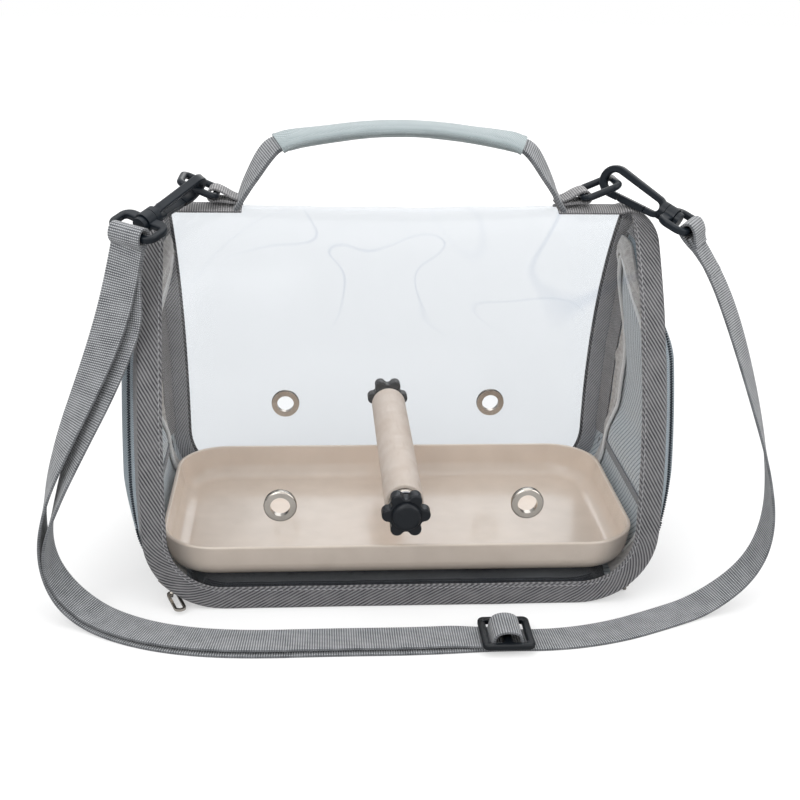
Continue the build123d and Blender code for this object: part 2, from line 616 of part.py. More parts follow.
def right_hook_planes():
    wire = ring_plane().from_local_coords(Vector(RING_REACH, 0, 0))
    nose = wire + Vector(*RIGHT_HOOK_ALONG).normalized() * RIGHT_HOOK_SLACK
    return hook_planes(RIGHT_HOOK_ALONG, RIGHT_HOOK_FACE, RIGHT_BAR_WAY, nose)


def left_hook_planes():
    wire = ring_plane().from_local_coords(Vector(LEFT_HOOK_PLACE, -RING_HALF_WIDTH, 0))
    wire = Vector(-wire.X, wire.Y, wire.Z)
    nose = wire + Vector(*LEFT_HOOK_ALONG).normalized() * LEFT_HOOK_SLACK
    return hook_planes(LEFT_HOOK_ALONG, LEFT_HOOK_FACE, LEFT_BAR_WAY, nose)


# ---- Shoulder strap ---------------------------------------------------------------------------
def bend_radii(route):
    """Largest arc that each corner of a route has room for."""
    radii = []
    for before, here, after in zip(route, route[1:], route[2:]):
        run_in = Vector(*here) - Vector(*before)
        run_out = Vector(*after) - Vector(*here)
        turn = math.radians(run_in.get_angle(run_out))
        radii.append(0.45 * min(run_in.length, run_out.length) / math.tan(turn / 2))
    return radii


def width_way(share, ways, marks):
    """Way that the strap's width points, at a share of its length."""
    for low, high, way, next_way in zip(marks, marks[1:], ways, ways[1:]):
        if share <= high:
            mix = (share - low) / (high - low)
            return (Vector(*way) * (1 - mix) + Vector(*next_way) * mix).normalized()
    return Vector(*ways[-1]).normalized()


def strap_stations():
    """Places and directions along the strap, evenly spaced on a path of runs and arcs."""
    points = [Vector(*point) for point, way in STRAP_ROUTE]
    ways = [way for point, way in STRAP_ROUTE]
    lengths = [0.0]
    for before, after in zip(points, points[1:]):
        lengths.append(lengths[-1] + (after - before).length)
    marks = [length / lengths[-1] for length in lengths]
    radii = bend_radii([point for point, way in STRAP_ROUTE])
    path = FilletPolyline(*points, radius=radii)
    count = round(path.length / STATION)
    stations = []
    for number in range(count + 1):
        distance = path.length * number / count
        place = path.position_at(distance, position_mode=PositionMode.LENGTH)
        ahead = path.tangent_at(distance, position_mode=PositionMode.LENGTH)
        across = width_way(number / count, ways, marks)
        across = (across - ahead * across.dot(ahead)).normalized()
        stations.append((place, ahead, across))
    return stations, path.length / count


def strap_band(label, stations, spacing, lift):
    """Flat webbing through the stations, lifted off the first layer's middle line."""
    sections = []
    for place, ahead, across in stations:
        raised = place + across.cross(ahead) * lift
        section = Plane(origin=raised, x_dir=across, z_dir=ahead)
        sections.append(section * Rectangle(STRAP_WIDTH, STRAP_THICKNESS))
    band = loft(sections, ruled=True)
    length = spacing * (len(stations) - 1)
    print(label, "strap length", round(length), "volume", round(band.volume))
    return band


def strap_eye(plane):
    """Turn of webbing round a strap ring's bar."""
    bar = plane * Pos(STRAP_BAR, 0, 0) * Rot(90, 0, 0)
    return bar * Cylinder(EYE_BORE + STRAP_THICKNESS, STRAP_WIDTH) - bar * Cylinder(EYE_BORE, 2 * STRAP_WIDTH)


def adjuster():
    """Sliding buckle with two slots."""
    plate = RectangleRounded(ADJUSTER_LENGTH, ADJUSTER_WIDTH, 3.5)
    for way in (-1, 1):
        plate -= Pos(way * (SLOT_WIDTH + CENTRE_BAR) / 2, 0) * RectangleRounded(SLOT_WIDTH, SLOT_LENGTH, 1.5)
    body = extrude(plate, ADJUSTER_THICKNESS)
    body = fillet(body.edges().filter_by(Plane.XY), 1.0)
    return Pos(ADJUSTER_X, ADJUSTER_Y, ADJUSTER_LIFT) * body


def adjuster_loop():
    """Webbing that rises through one slot, over the centre bar and down through the other."""
    half = CENTRE_BAR / 2 + 1.4
    foot = half + 1.6
    low = ADJUSTER_LIFT + STRAP_THICKNESS / 2
    high = low + ADJUSTER_ARCH
    points = [(-foot, 0, low), (-half, 0, high), (half, 0, high), (foot, 0, low)]
    path = FilletPolyline(*points, radius=1.4)
    start = Plane(origin=path @ 0, x_dir=(0, 1, 0), z_dir=path % 0)
    band = sweep(start * Rectangle(STRAP_WIDTH, STRAP_THICKNESS), path=path)
    return Pos(ADJUSTER_X, ADJUSTER_Y, 0) * band


# ---- Build every piece ------------------------------------------------------------------------
save("clear_wrap", clear_wrap())
webbing = edge_webbing()
save("front_edge_webbing", webbing & slab(BELOW, FAR, y_to=0))
save("back_edge_webbing", webbing & slab(BELOW, FAR, y_from=0))
tail = zip_tail()
tails = tail + left_of(tail)
save("base_gusset", base_gusset(tails))
save("base_board", base_board())
save("tray", tray())
save("perch", perch())

upper_coil = right_end(coil_arch(-GAP / 2 - COIL_WIDTH, -GAP / 2)) & slab(DOOR_FOOT - 2 * GAP, BODY_HEIGHT)
for name, piece in {
    "zip_tape": right_end(fixed_zip_tape()),
    "zip_coil": upper_coil + tail,
    "zip_slider": slider(),
    "ridge_tab": ridge_tab(),
    "ring_loop": ring_loop(),
    "side_ring": side_ring(),
    **door_pieces(),
}.items():
    save(f"right_{name}", piece)
    save(f"left_{name}", left_of(piece))

save("right_zip_pull", pull(RIGHT_PULL_HEADING))
save("left_zip_pull", left_of(pull(LEFT_PULL_HEADING)))

for label, x in (("left", -EYELET_SPACING), ("middle", 0), ("right", EYELET_SPACING)):
    front_eyelet = eyelet(x)
    save(f"front_{label}_eyelet", front_eyelet)
    save(f"back_{label}_eyelet", mirror(front_eyelet, about=Plane.XZ))
for name, piece in knob_pieces().items():
    save(f"front_{name}", piece)
    save(f"back_{name}", mirror(piece, about=Plane.XZ))

save("handle_strap", handle_strap())
save("handle_grip", handle_grip())

eyes = []
for side, planes in (("right", right_hook_planes()), ("left", left_hook_planes())):
    hook_plane, ring = planes
    save(f"{side}_hook", hook_plane * hook_body())
    save(f"{side}_hook_gate", hook_plane * hook_gate())
    save(f"{side}_strap_ring", ring * strap_ring())
    eyes.append(strap_eye(ring))
    bar = ring.from_local_coords(Vector(STRAP_BAR, 0, 0))
    print(side, "nose", hook_plane.origin, "along", hook_plane.x_dir, "face", hook_plane.z_dir, "bar", bar)

stations, spacing = strap_stations()
sewn_end = [place.X < RETURN_START for place, ahead, across in stations].index(True)
save("strap_main", strap_band("main", stations, spacing, 0) + eyes[0] + eyes[1])
save("strap_return", strap_band("return", stations[sewn_end:], spacing, LAYER_GAP))
save("strap_adjuster", adjuster())
save("adjuster_loop", adjuster_loop())
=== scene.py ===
# %% [markdown]
# # A bird travel carrier
# The carrier is a small soft bag: one clear sheet bent into a tent, bound with grey webbing,
# closed at both ends by zipped mesh doors, with a tray, a clamped wooden perch, a padded handle
# and a clip-on shoulder strap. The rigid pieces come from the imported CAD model. The cloth, the
# sheet, the webbing and the zips are made here, in place of their plain solids.

# %% Load the frame
import math

import bpy
from mathutils import Matrix, Vector, noise


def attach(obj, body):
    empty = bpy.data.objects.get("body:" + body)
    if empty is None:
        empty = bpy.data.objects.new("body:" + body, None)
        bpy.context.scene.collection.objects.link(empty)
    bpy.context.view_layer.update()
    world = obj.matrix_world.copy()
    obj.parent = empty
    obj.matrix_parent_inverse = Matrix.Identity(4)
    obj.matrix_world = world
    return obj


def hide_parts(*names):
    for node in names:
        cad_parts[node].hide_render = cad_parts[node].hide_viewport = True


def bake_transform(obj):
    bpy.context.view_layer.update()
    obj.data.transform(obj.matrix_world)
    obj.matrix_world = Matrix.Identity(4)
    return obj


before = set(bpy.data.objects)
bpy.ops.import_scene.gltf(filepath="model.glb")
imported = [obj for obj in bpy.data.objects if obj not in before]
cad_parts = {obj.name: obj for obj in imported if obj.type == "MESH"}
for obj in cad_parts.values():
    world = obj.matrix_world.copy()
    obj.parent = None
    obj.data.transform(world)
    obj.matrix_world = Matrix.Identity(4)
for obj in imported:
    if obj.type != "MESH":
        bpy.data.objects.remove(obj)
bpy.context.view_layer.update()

MM = 0.001

# %% [markdown]
# ## Camera
# The camera stands a little left of the middle and above the bag, and looks down by 21 degrees.
# It could be aimed by a constraint. Its three angles are written out instead, because the small
# roll matters too. The lens gives the view of a normal lens at two thirds of a metre.

# %% Camera
YAW, PITCH, ROLL = 0.07398, 0.36768, 0.02094
EYE = Vector((-0.04763, -0.66890, 0.34922))
LENS = 56.43

ahead = Vector((math.sin(YAW) * math.cos(PITCH), math.cos(YAW) * math.cos(PITCH), -math.sin(PITCH)))
level = Vector((math.cos(YAW), -math.sin(YAW), 0))
upward = level.cross(ahead)
right = level * math.cos(ROLL) + upward * math.sin(ROLL)
up = upward * math.cos(ROLL) - level * math.sin(ROLL)
turn = Matrix((right, up, -ahead)).transposed().to_euler()
bpy.ops.object.camera_add(location=EYE, rotation=turn)
camera = bpy.context.object
camera.data.lens = LENS
bpy.context.scene.camera = camera
print("camera", [round(x, 3) for x in camera.location])

# %% [markdown]
# ## Small helpers
# Every operator acts on what is selected, so each helper starts from nothing selected. A cloth
# piece starts as a flat grid, whose points are then laid where the cloth lies. The grid keeps its
# flat UV map, in metres, so a weave follows the cloth wherever it bends.


# %% Selecting and editing
def hold(piece):
    """Selects one piece and nothing else."""
    bpy.ops.object.select_all(action="DESELECT")
    piece.select_set(True)
    bpy.context.view_layer.objects.active = piece


def edit(piece, action="SELECT"):
    """Opens one piece for mesh operators, with all or nothing of it selected."""
    hold(piece)
    bpy.ops.object.mode_set(mode="EDIT")
    bpy.ops.mesh.select_all(action=action)


def edited():
    """Closes the piece that is open."""
    bpy.ops.object.mode_set(mode="OBJECT")


def shaped(piece, kind, **settings):
    """Adds a modifier with these settings and applies it."""
    hold(piece)
    bpy.ops.object.modifier_add(type=kind)
    modifier = piece.modifiers[-1]
    for key, value in settings.items():
        setattr(modifier, key, value)
    bpy.ops.object.modifier_apply(modifier=modifier.name)
    return piece


# %% Laying cloth
def lay(name, columns, rows, place, width, length):
    """A grid laid by place(across, along), both from 0 to 1, in millimetres."""
    bpy.ops.object.select_all(action="DESELECT")
    bpy.ops.mesh.primitive_grid_add(x_subdivisions=columns, y_subdivisions=rows, size=1)
    piece = bpy.context.object
    piece.name = piece.data.name = name
    for corner in piece.data.vertices:
        corner.co = Vector(place(corner.co.x + 0.5, corner.co.y + 0.5)) * MM
    for spot in piece.data.uv_layers.active.data:
        spot.uv = (spot.uv.x * width * MM, spot.uv.y * length * MM)
    return piece


def thicken(piece, thickness, offset=0.0, edge=0.3):
    """Gives a laid grid its thickness in millimetres, and rounds its edges."""
    shaped(piece, "SOLIDIFY", thickness=thickness * MM, offset=offset, use_even_offset=True)
    if edge:
        sharp = {"limit_method": "ANGLE", "angle_limit": math.radians(50)}
        shaped(piece, "BEVEL", width=edge * MM, segments=2, **sharp)
    return piece


def outward(piece):
    """Turns all faces of a closed piece outwards."""
    edit(piece)
    bpy.ops.mesh.remove_doubles(threshold=1e-6)
    bpy.ops.mesh.normals_make_consistent(inside=False)
    edited()
    return piece


def cloth_piece(name, grid, place, size, thickness, offset=0.0, edge=0.3):
    """A closed piece of cloth: grid is (columns, rows), size is its flat (width, length)."""
    return outward(thicken(lay(name, *grid, place, *size), thickness, offset, edge))


# %% [markdown]
# Each finished piece gets its finish and the body that it moves with, and the plain solids that it
# stands for are hidden.


# %% Finishing a piece
def smooth(piece, material, angle=35):
    """Gives a piece its finish and smooth shading up to this angle in degrees."""
    hold(piece)
    piece.data.materials.clear()
    piece.data.materials.append(material)
    bpy.ops.object.shade_smooth_by_angle(angle=math.radians(angle))


def finish(piece, body, slot, material, *nodes, angle=35):
    """Gives a piece its finish, its body and the nodes that it stands for. The slot is not used."""
    smooth(piece, material, angle)
    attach(piece, body)
    if nodes:
        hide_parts(*nodes)
    print("made", piece.name, len(piece.data.polygons), "faces")
    return piece


# %% [markdown]
# ## Shape of the bag
# From the end, the bag is a tent: upright feet, two leaning arcs and a round ridge. From the
# front it is a block with round corners. Its soft ends swell out beside their edges. These few
# lines give both shapes and the swell, so that every cloth piece lies on the same form.

# %% Shape of the bag
HALF_WIDTH = 138.0
HALF_DEPTH = 76.0
BODY_HEIGHT = 204.5
WALL_RISE = 45.0  # where the upright feet end and the leaning arcs begin
RIDGE_RADIUS = 22.0
CORNER_RADIUS = 42.0  # lower corners, seen from the front
TOP_CORNER = 15.0
WEBBING = 1.4
SHEET = 0.8
FACE_WIDTH = 13.0  # edge webbing on the face
DOOR_FOOT = 43.6
DOOR_TOP = 188.0
DOOR_CROWN = 16.0
ZIP_LINE = 62.0  # half depth of the zip's arch
BULGE = {-1: 9.4, 1: 8.2}  # how far the left and the right end swell out
SINK = 10.0  # how far both are sunk near the ridge
FACES = (("front", -1), ("back", 1))
SIDES = (("right", 1), ("left", -1))
print("bag", 2 * HALF_WIDTH, 2 * HALF_DEPTH, BODY_HEIGHT)


# %% Tent shape
def arch(half, top, crown):
    """Half depth, top, crown radius, lean radius and crown angle of a tent shape."""
    climb = top - crown - WALL_RISE
    lean = (half**2 + climb**2 - crown**2) / (2 * (half - crown))
    return half, top, crown, lean, math.atan2(climb, lean - half)


BODY_ARCH = arch(HALF_DEPTH, BODY_HEIGHT, RIDGE_RADIUS)
DOOR_ARCH = arch(ZIP_LINE, DOOR_TOP, DOOR_CROWN)


def arch_length(shape, foot):
    """Length of a tent shape from its front foot to its back foot."""
    half, top, crown, lean, angle = shape
    return 2 * (WALL_RISE - foot + lean * angle) + crown * (math.pi - 2 * angle)


def on_arch(shape, share, foot, inset=0.0):
    """Place (y, z) and outward way on a tent shape, front foot (0) to back foot (1)."""
    half, top, crown, lean, angle = shape
    total = arch_length(shape, foot)
    side = -1 if share < 0.5 else 1
    far = total * min(share, 1 - share)
    upright = WALL_RISE - foot
    if far < upright:
        return side * (half - inset), foot + far, side, 0.0
    if far < upright + lean * angle:
        a = (far - upright) / lean
        y, z = half - lean + (lean - inset) * math.cos(a), WALL_RISE + (lean - inset) * math.sin(a)
    else:
        a = angle + (far - upright - lean * angle) / crown
        y, z = (crown - inset) * math.cos(a), top - crown + (crown - inset) * math.sin(a)
    return side * y, z, side * math.cos(a), math.sin(a)


print("lean radius", round(BODY_ARCH[3], 1), "door", round(DOOR_ARCH[3], 1))

# %% [markdown]
# The soft ends are not flat. They swell out where the cloth is free, are held in by the webbing
# and the fold, and are sunk near the ridge. One function says how far, and every layer of an end
# uses it.


# %% Swelled ends
def end_x(z, inset=0.0):
    """Half width of the bag at a height."""
    if z < CORNER_RADIUS:
        inner = (CORNER_RADIUS - inset) ** 2 - (CORNER_RADIUS - z) ** 2
        return HALF_WIDTH - CORNER_RADIUS + math.sqrt(max(inner, 0))
    rise = z - (BODY_HEIGHT - TOP_CORNER)
    if rise > 0:
        inner = (TOP_CORNER - inset) ** 2 - rise**2
        return HALF_WIDTH - TOP_CORNER + math.sqrt(max(inner, 0))
    return HALF_WIDTH - inset


def eased(value, low, high):
    """0 below low, 1 above high, smooth between."""
    t = min(max((value - low) / (high - low), 0), 1)
    return t * t * (3 - 2 * t)


def end_swell(side, inset, z):
    """How far the soft end stands proud, or lies sunk, at a distance in from its edge."""
    # a third of the swell lies beside the webbing, the rest on from there to the zip
    rise = 0.32 * eased(inset, 2, 9) + 0.68 * eased(inset, 7, 20.5 - 1.5 * side)
    proud = BULGE[side] * eased(z, 2, 72) * (1 - 0.18 * eased(inset, 22, 60))
    # the middle of the end is sunk from lower down than its rim
    sunk = eased(z, 128 - 48 * eased(inset, 20, 30), 182)
    # along the fold on which the door opens, the end is drawn in
    fold = eased(inset, 16, 32) * (1 - eased(abs(z - DOOR_FOOT), 3, 28))
    return rise * (proud * (1 - sunk) - SINK * sunk) * (1 - 0.92 * fold)


print("swell beside the right zip", round(end_swell(1, 20, 72), 1))

# %% [markdown]
# ## Finishes
# Each finish is a small node tree. It could be painted on an image, but a node tree needs no file
# and stays sharp close up. Woven finishes read the UV map of their piece, in metres, so their
# ribs have a real pitch. Hard pieces read Object coordinates.


# %% Building a finish
def paint(red, green, blue):
    """A screen colour, 0 to 255, as the shader wants it."""
    levels = (red, green, blue)
    return [((c / 255 + 0.055) / 1.055) ** 2.4 if c > 10 else c / 255 / 12.92 for c in levels] + [1]


def put(tree, kind, inputs=None, **settings):
    """Adds a node with its settings, values and links."""
    made = tree.nodes.new("ShaderNode" + kind)
    for key, value in settings.items():
        setattr(made, key, value)
    for key, value in (inputs or {}).items():
        if isinstance(value, bpy.types.NodeSocket):
            tree.links.new(value, made.inputs[key])
        else:
            made.inputs[key].default_value = value
    return made


def finish_tree(name, roughness, **sockets):
    """A material with one Principled shader, its node tree and that shader."""
    material = bpy.data.materials.new(name)
    material.use_nodes = True
    shader = material.node_tree.nodes["Principled BSDF"]
    shader.inputs["Roughness"].default_value = roughness
    for key, value in sockets.items():
        shader.inputs[key.replace("_", " ")].default_value = value
    return material, material.node_tree, shader


def coloured(tree, shader, colour):
    """Links a colour to the shader."""
    tree.links.new(colour, shader.inputs["Base Color"])


def shown(tree, shader):
    """Links a shader to the surface."""
    tree.links.new(shader.outputs[0], tree.nodes["Material Output"].inputs["Surface"])


# %% Patterns of a finish
def cloth_spot(tree):
    """The piece's own UV map, in metres."""
    return put(tree, "UVMap", uv_map="UVMap").outputs[0]


def solid_spot(tree):
    """Object coordinates, in metres."""
    return put(tree, "TexCoord").outputs["Object"]


def ribs(tree, spot, pitch, angle=0.0, wander=0.0):
    """Ribs with a pitch in millimetres, square to a way at this angle in degrees."""
    turned = put(tree, "Mapping", {"Vector": spot, "Rotation": (0, 0, math.radians(angle))})
    inputs = {"Vector": turned.outputs[0], "Scale": 0.31416 / (pitch * MM), "Distortion": wander}
    return put(tree, "TexWave", inputs | {"Detail": 2.0, "Detail Scale": 0.6}).outputs["Fac"]


def clouds(tree, spot, scale, detail, distortion=0.0):
    """Noise of this scale."""
    inputs = {"Vector": spot, "Scale": scale, "Detail": detail, "Distortion": distortion}
    return put(tree, "TexNoise", inputs).outputs["Fac"]


def speckle(tree, spot, size, detail=3.0):
    """Noise with this grain in millimetres."""
    return clouds(tree, spot, 1 / (size * MM), detail)


def mixed(tree, share, first, second):
    """A colour between two, by a share."""
    mix = put(tree, "Mix", {"Factor": share}, data_type="RGBA")
    for index, value in ((6, first), (7, second)):
        if isinstance(value, bpy.types.NodeSocket):
            tree.links.new(value, mix.inputs[index])
        else:
            mix.inputs[index].default_value = value
    return mix.outputs[2]


def maths(tree, first, second, kind="MULTIPLY"):
    """The product of two values, or what another operation makes of them."""
    return put(tree, "Math", {0: first, 1: second}, operation=kind).outputs[0]


def ramp(tree, value, low, high):
    """A share that climbs from 0 at low to 1 at high."""
    return put(tree, "MapRange", {"Value": value, "From Min": low, "From Max": high}).outputs[0]


def raise_by(tree, shader, height, depth, strength=1.0):
    """Bump of this depth in millimetres."""
    bump = put(tree, "Bump", {"Height": height, "Distance": depth * MM, "Strength": strength})
    tree.links.new(bump.outputs[0], shader.inputs["Normal"])


# %% [markdown]
# ### Woven finishes
# The edge webbing is a twill: fine slanting ribs of light thread on dark. The strap has ribs
# straight across. Both have a second, finer rhythm, where one thread passes over the next. A wave
# for the ribs, times a wave for the threads, gives both at once.


# %% Woven finishes
def woven(name, dark, light, pitch, angle, thread, wander=0.4, depth=0.25, grid=-0.6):
    """Webbing with ribs at an angle, and threads across each rib."""
    material, tree, shader = finish_tree(name, 0.85, Sheen_Weight=0.25, Sheen_Roughness=0.5)
    spot = cloth_spot(tree)
    rib = ribs(tree, spot, pitch, angle, wander)
    crossing = ribs(tree, spot, thread, angle + 90, 0.2)
    pattern = maths(tree, ramp(tree, rib, 0.25, 0.85), ramp(tree, crossing, grid, 0.9))
    patches = ramp(tree, speckle(tree, spot, 9.0), 0.35, 0.75)
    shade = mixed(tree, pattern, paint(*dark), paint(*light))
    coloured(tree, shader, mixed(tree, maths(tree, patches, 0.22), shade, paint(*light)))
    raise_by(tree, shader, maths(tree, rib, maths(tree, crossing, 0.5), "ADD"), depth, 0.8)
    return material


INK, SLATE = (46, 46, 50), (92, 94, 98)
EDGE_TWILL = woven("edge_twill", INK, (150, 149, 151), 1.6, -30, 0.6, 1.2)
# The inner legs' twill is the edge webbing painted paler: painted light for the sheet's haze and
# reflections.
INNER_TWILL_PAINTED_LIGHT = woven("inner_twill_painted_light", (112, 114, 119), (188, 189, 192), 1.4, -30, 0.7, 0.8, 0.15)
STRAP_RIBS = woven("strap_ribs", (66, 69, 73), (190, 192, 195), 1.25, 90, 1.25, grid=-0.2)
TAB_RIBS = woven("tab_ribs", (80, 80, 83), (186, 184, 184), 1.25, 90, 1.1, grid=-0.3)
ZIP_TAPE = woven("zip_tape_weave", (118, 131, 140), (180, 192, 200), 0.9, 45, 0.5, 0.2, 0.12)
GUSSET_CLOTH = woven("gusset_cloth", SLATE, (140, 142, 146), 0.8, 0, 0.8, 0.3, 0.12)
BOARD_CLOTH = woven("board_cloth", (13, 16, 21), (40, 44, 51), 0.9, 0, 0.9, 0.3, 0.15)
GRIP_CLOTH = woven("grip_cloth", (136, 149, 152), (184, 194, 196), 1.1, 35, 0.9, 0.5, 0.22)
print("woven finishes", len(bpy.data.materials))

# %% [markdown]
# ### Felt and nets
# The binding inside the doors has a brushed nap, so it gets noise and no ribs. The door's net is
# an air mesh: dark slants on a pale knit. Its holes are too many to be cut, so they are clear
# spots in the finish where three sets of ribs cross. The lining is the same mesh, closed.


# %% Felt and nets
def felt(name, low, high, grain):
    """Brushed binding with a soft, uneven nap."""
    material, tree, shader = finish_tree(name, 0.95, Sheen_Weight=0.6, Sheen_Roughness=0.6)
    nap = speckle(tree, cloth_spot(tree), grain, 6.0)
    coloured(tree, shader, mixed(tree, ramp(tree, nap, 0.3, 0.7), paint(*low), paint(*high)))
    raise_by(tree, shader, nap, 0.5, 0.6)
    return material


def netting(name, ground, line, pitch, holes):
    """Air mesh: dark slants on a pale knit, and small holes at this pitch if it is not 0."""
    material, tree, shader = finish_tree(name, 0.8, Sheen_Weight=0.3)
    spot = cloth_spot(tree)
    knit = mixed(tree, speckle(tree, spot, 3.0), paint(*[c - 18 for c in ground]), paint(*ground))
    rib = ribs(tree, spot, pitch, -35, 0.5)
    coloured(tree, shader, mixed(tree, ramp(tree, rib, 0.26, 0.06), knit, paint(*line)))
    raise_by(tree, shader, rib, 0.3, 0.8)
    if holes:
        first, second, third = (ribs(tree, spot, holes, angle) for angle in (60, -60, 0))
        hole = ramp(tree, maths(tree, maths(tree, first, second), third), 0.30, 0.42)
        clear = put(tree, "BsdfTransparent")
        shown(tree, put(tree, "MixShader", {0: hole, 1: shader.outputs[0], 2: clear.outputs[0]}))
    return material


BINDING_FELT = felt("binding_felt", (146, 141, 137), (196, 192, 188), 2.6)
PIPING_CORD = felt("piping_cord", (214, 214, 212), (246, 246, 244), 0.8)
DOOR_NET = netting("door_net", (206, 213, 217), (120, 130, 138), 3.4, 1.7)
LINING_MESH = netting("lining_mesh", (198, 205, 209), (128, 137, 144), 3.2, 0)
print("with felt and nets", len(bpy.data.materials))

# %% [markdown]
# ### Clear sheet
# The sheet is soft vinyl: almost nothing of it shows but a faint veil, a few crease lines and the
# lights that it mirrors. Glass would bend what lies behind it, and a thin sheet does not. So a
# transparent shader carries the veil and the painted crease lines, and a glossy one the mirror.
# The crease lines are painted: faint darker streaks in the see-through tint that stand in for the
# reflections of creases in the sheet. The glossy share climbs steeply at a glancing angle, the
# same on both faces of the sheet.

# %% Clear sheet finish
# The second tint paints the crease lines: faint darker streaks that stand in for the reflections of
# creases.
VEIL, PAINTED_CREASE_LINE = (244, 245, 246), (237, 239, 242)
PAINTED_CREASES_FADE_IN = (0.1, 0.15)  # heights in metres
GLOSS_SHARE = (0.014, 0.26)  # seen square on, and at a glancing angle


def vinyl(name):
    """Clear, wavy, softly glossy sheet."""
    material, tree, shader = finish_tree(name, 0.06)
    tree.nodes.remove(shader)
    spot = solid_spot(tree)
    wave = clouds(tree, spot, 12.0, 1.0, 0.6)
    bump = put(tree, "Bump", {"Height": wave, "Distance": 0.008, "Strength": 0.2}).outputs[0]
    bend = maths(tree, clouds(tree, spot, 9.0, 0.5, 1.2), 0.5, "SUBTRACT")
    patch = ramp(tree, clouds(tree, spot, 5.0, 0.0), 0.46, 0.6)
    line = ramp(tree, maths(tree, bend, 0.0, "ABSOLUTE"), 0.012, 0.002)
    high = ramp(tree, put(tree, "SeparateXYZ", {0: spot}).outputs["Z"], *PAINTED_CREASES_FADE_IN)
    # painted crease lines, darker streaks for the reflections of creases, only high on the sheet
    painted_creases = maths(tree, maths(tree, line, patch), high)
    tone = mixed(tree, painted_creases, paint(*VEIL), paint(*PAINTED_CREASE_LINE))
    clear = put(tree, "BsdfTransparent", {"Color": tone}).outputs[0]
    mirror = {"Color": (1, 1, 1, 1), "Roughness": 0.2, "Normal": bump}
    gloss = put(tree, "BsdfGlossy", mirror).outputs[0]
    facing = put(tree, "LayerWeight", {"Blend": 0.5, "Normal": bump}).outputs["Facing"]
    least, most = GLOSS_SHARE
    glance = {"Value": maths(tree, facing, 5.0, "POWER"), "To Min": least, "To Max": most}
    share = put(tree, "MapRange", glance).outputs[0]
    shown(tree, put(tree, "MixShader", {0: share, 1: clear, 2: gloss}))
    return material


CLEAR_VINYL = vinyl("clear_vinyl")
print("made", CLEAR_VINYL.name)

# %% [markdown]
# ### Hard finishes
# Moulded plastic has a faint orange peel and a slightly uneven colour. The tray is a pale glossy
# moulding. Nickel and steel have fine polishing marks. Wood gets long grain along the bar and
# soft mottling.


# %% Hard finishes
def moulded(name, colour, roughness, grain=1.2, depth=0.03, spread=14, **sockets):
    """One colour that wanders by a spread, with a fine grain."""
    material, tree, shader = finish_tree(name, roughness, **sockets)
    spot = solid_spot(tree)
    cloud = ramp(tree, speckle(tree, spot, 14.0), 0.3, 0.7)
    low = paint(*[max(c - spread, 0) for c in colour])
    high = paint(*[min(c + spread, 255) for c in colour])
    coloured(tree, shader, mixed(tree, cloud, low, high))
    raise_by(tree, shader, speckle(tree, spot, grain), depth, 0.5)
    return material


def wood(name):
    """Pale planed wood, its grain along Y."""
    material, tree, shader = finish_tree(name, 0.55)
    spot = solid_spot(tree)
    stretched = put(tree, "Mapping", {"Vector": spot, "Scale": (1, 0.07, 1)}).outputs[0]
    grain = clouds(tree, stretched, 900.0, 6.0, 0.4)
    mottle = ramp(tree, clouds(tree, spot, 90.0, 2.0, 0.2), 0.3, 0.72)
    body = mixed(tree, mottle, paint(221, 201, 184), paint(234, 218, 204))
    lines = maths(tree, ramp(tree, grain, 0.55, 0.75), 0.4)
    coloured(tree, shader, mixed(tree, lines, body, paint(196, 170, 147)))
    raise_by(tree, shader, grain, 0.05, 0.6)
    return material


DARK_PLASTIC = moulded("dark_plastic", (8, 13, 19), 0.4, spread=5, Specular_IOR_Level=0.32)
HOOK_PLASTIC = moulded("hook_plastic", (13, 21, 29), 0.38, spread=5, Specular_IOR_Level=0.32)
COIL_NYLON = moulded("coil_nylon", (34, 43, 53), 0.5, spread=8)
TRAY_COAT = {"Coat_Weight": 0.3, "Coat_Roughness": 0.1}
TRAY_GLOSS = moulded("tray_gloss", (234, 216, 199), 0.24, 8.0, 0.08, 4, **TRAY_COAT)
NICKEL = moulded("nickel", (186, 180, 172), 0.22, 0.6, 0.01, 12, Metallic=1.0)
STEEL = moulded("steel", (168, 168, 170), 0.35, 0.5, 0.01, 10, Metallic=1.0)
THREAD = moulded("thread", (150, 150, 152), 0.8, spread=10)
PALE_WOOD = wood("pale_wood")
print("finishes", len(bpy.data.materials))

# %% [markdown]
# ## Kept solids
# The tray, perch, eyelets, knobs, hooks, rings, sliders and the adjuster are hard, and their CAD
# shape is their real shape. They could be rebuilt here, but only their finish is missing.

# %% Finishes of the kept solids
KEPT = {"tray": TRAY_GLOSS, "perch": PALE_WOOD, "strap_adjuster": DARK_PLASTIC}
for face, _ in FACES:
    KEPT.update({f"{face}_{side}_eyelet": NICKEL for side in ("left", "middle", "right")})
    KEPT.update({f"{face}_{piece}": STEEL for piece in ("knob_washer", "knob_stud")})
    KEPT[f"{face}_star_knob"] = DARK_PLASTIC
for side, _ in SIDES:
    clip = ("side_ring", "hook", "hook_gate", "strap_ring")
    KEPT.update({f"{side}_{piece}": HOOK_PLASTIC for piece in clip})
    KEPT.update({f"{side}_{piece}": NICKEL for piece in ("zip_slider", "zip_pull")})
for node, material in KEPT.items():
    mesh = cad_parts[node].data
    mesh.materials.clear()
    mesh.materials.append(material)
print("kept", len(KEPT), "solids")

# %% [markdown]
# ## Clear sheet
# One sheet runs up the front, over the ridge and down the back. It could hang as simulated cloth,
# but a stiff sheet held on all sides keeps its form. So it is laid as a grid on the tent shape,
# given slow waves that die out at its edges and eyelets, punched where the eyelets go through,
# and then given its thickness.

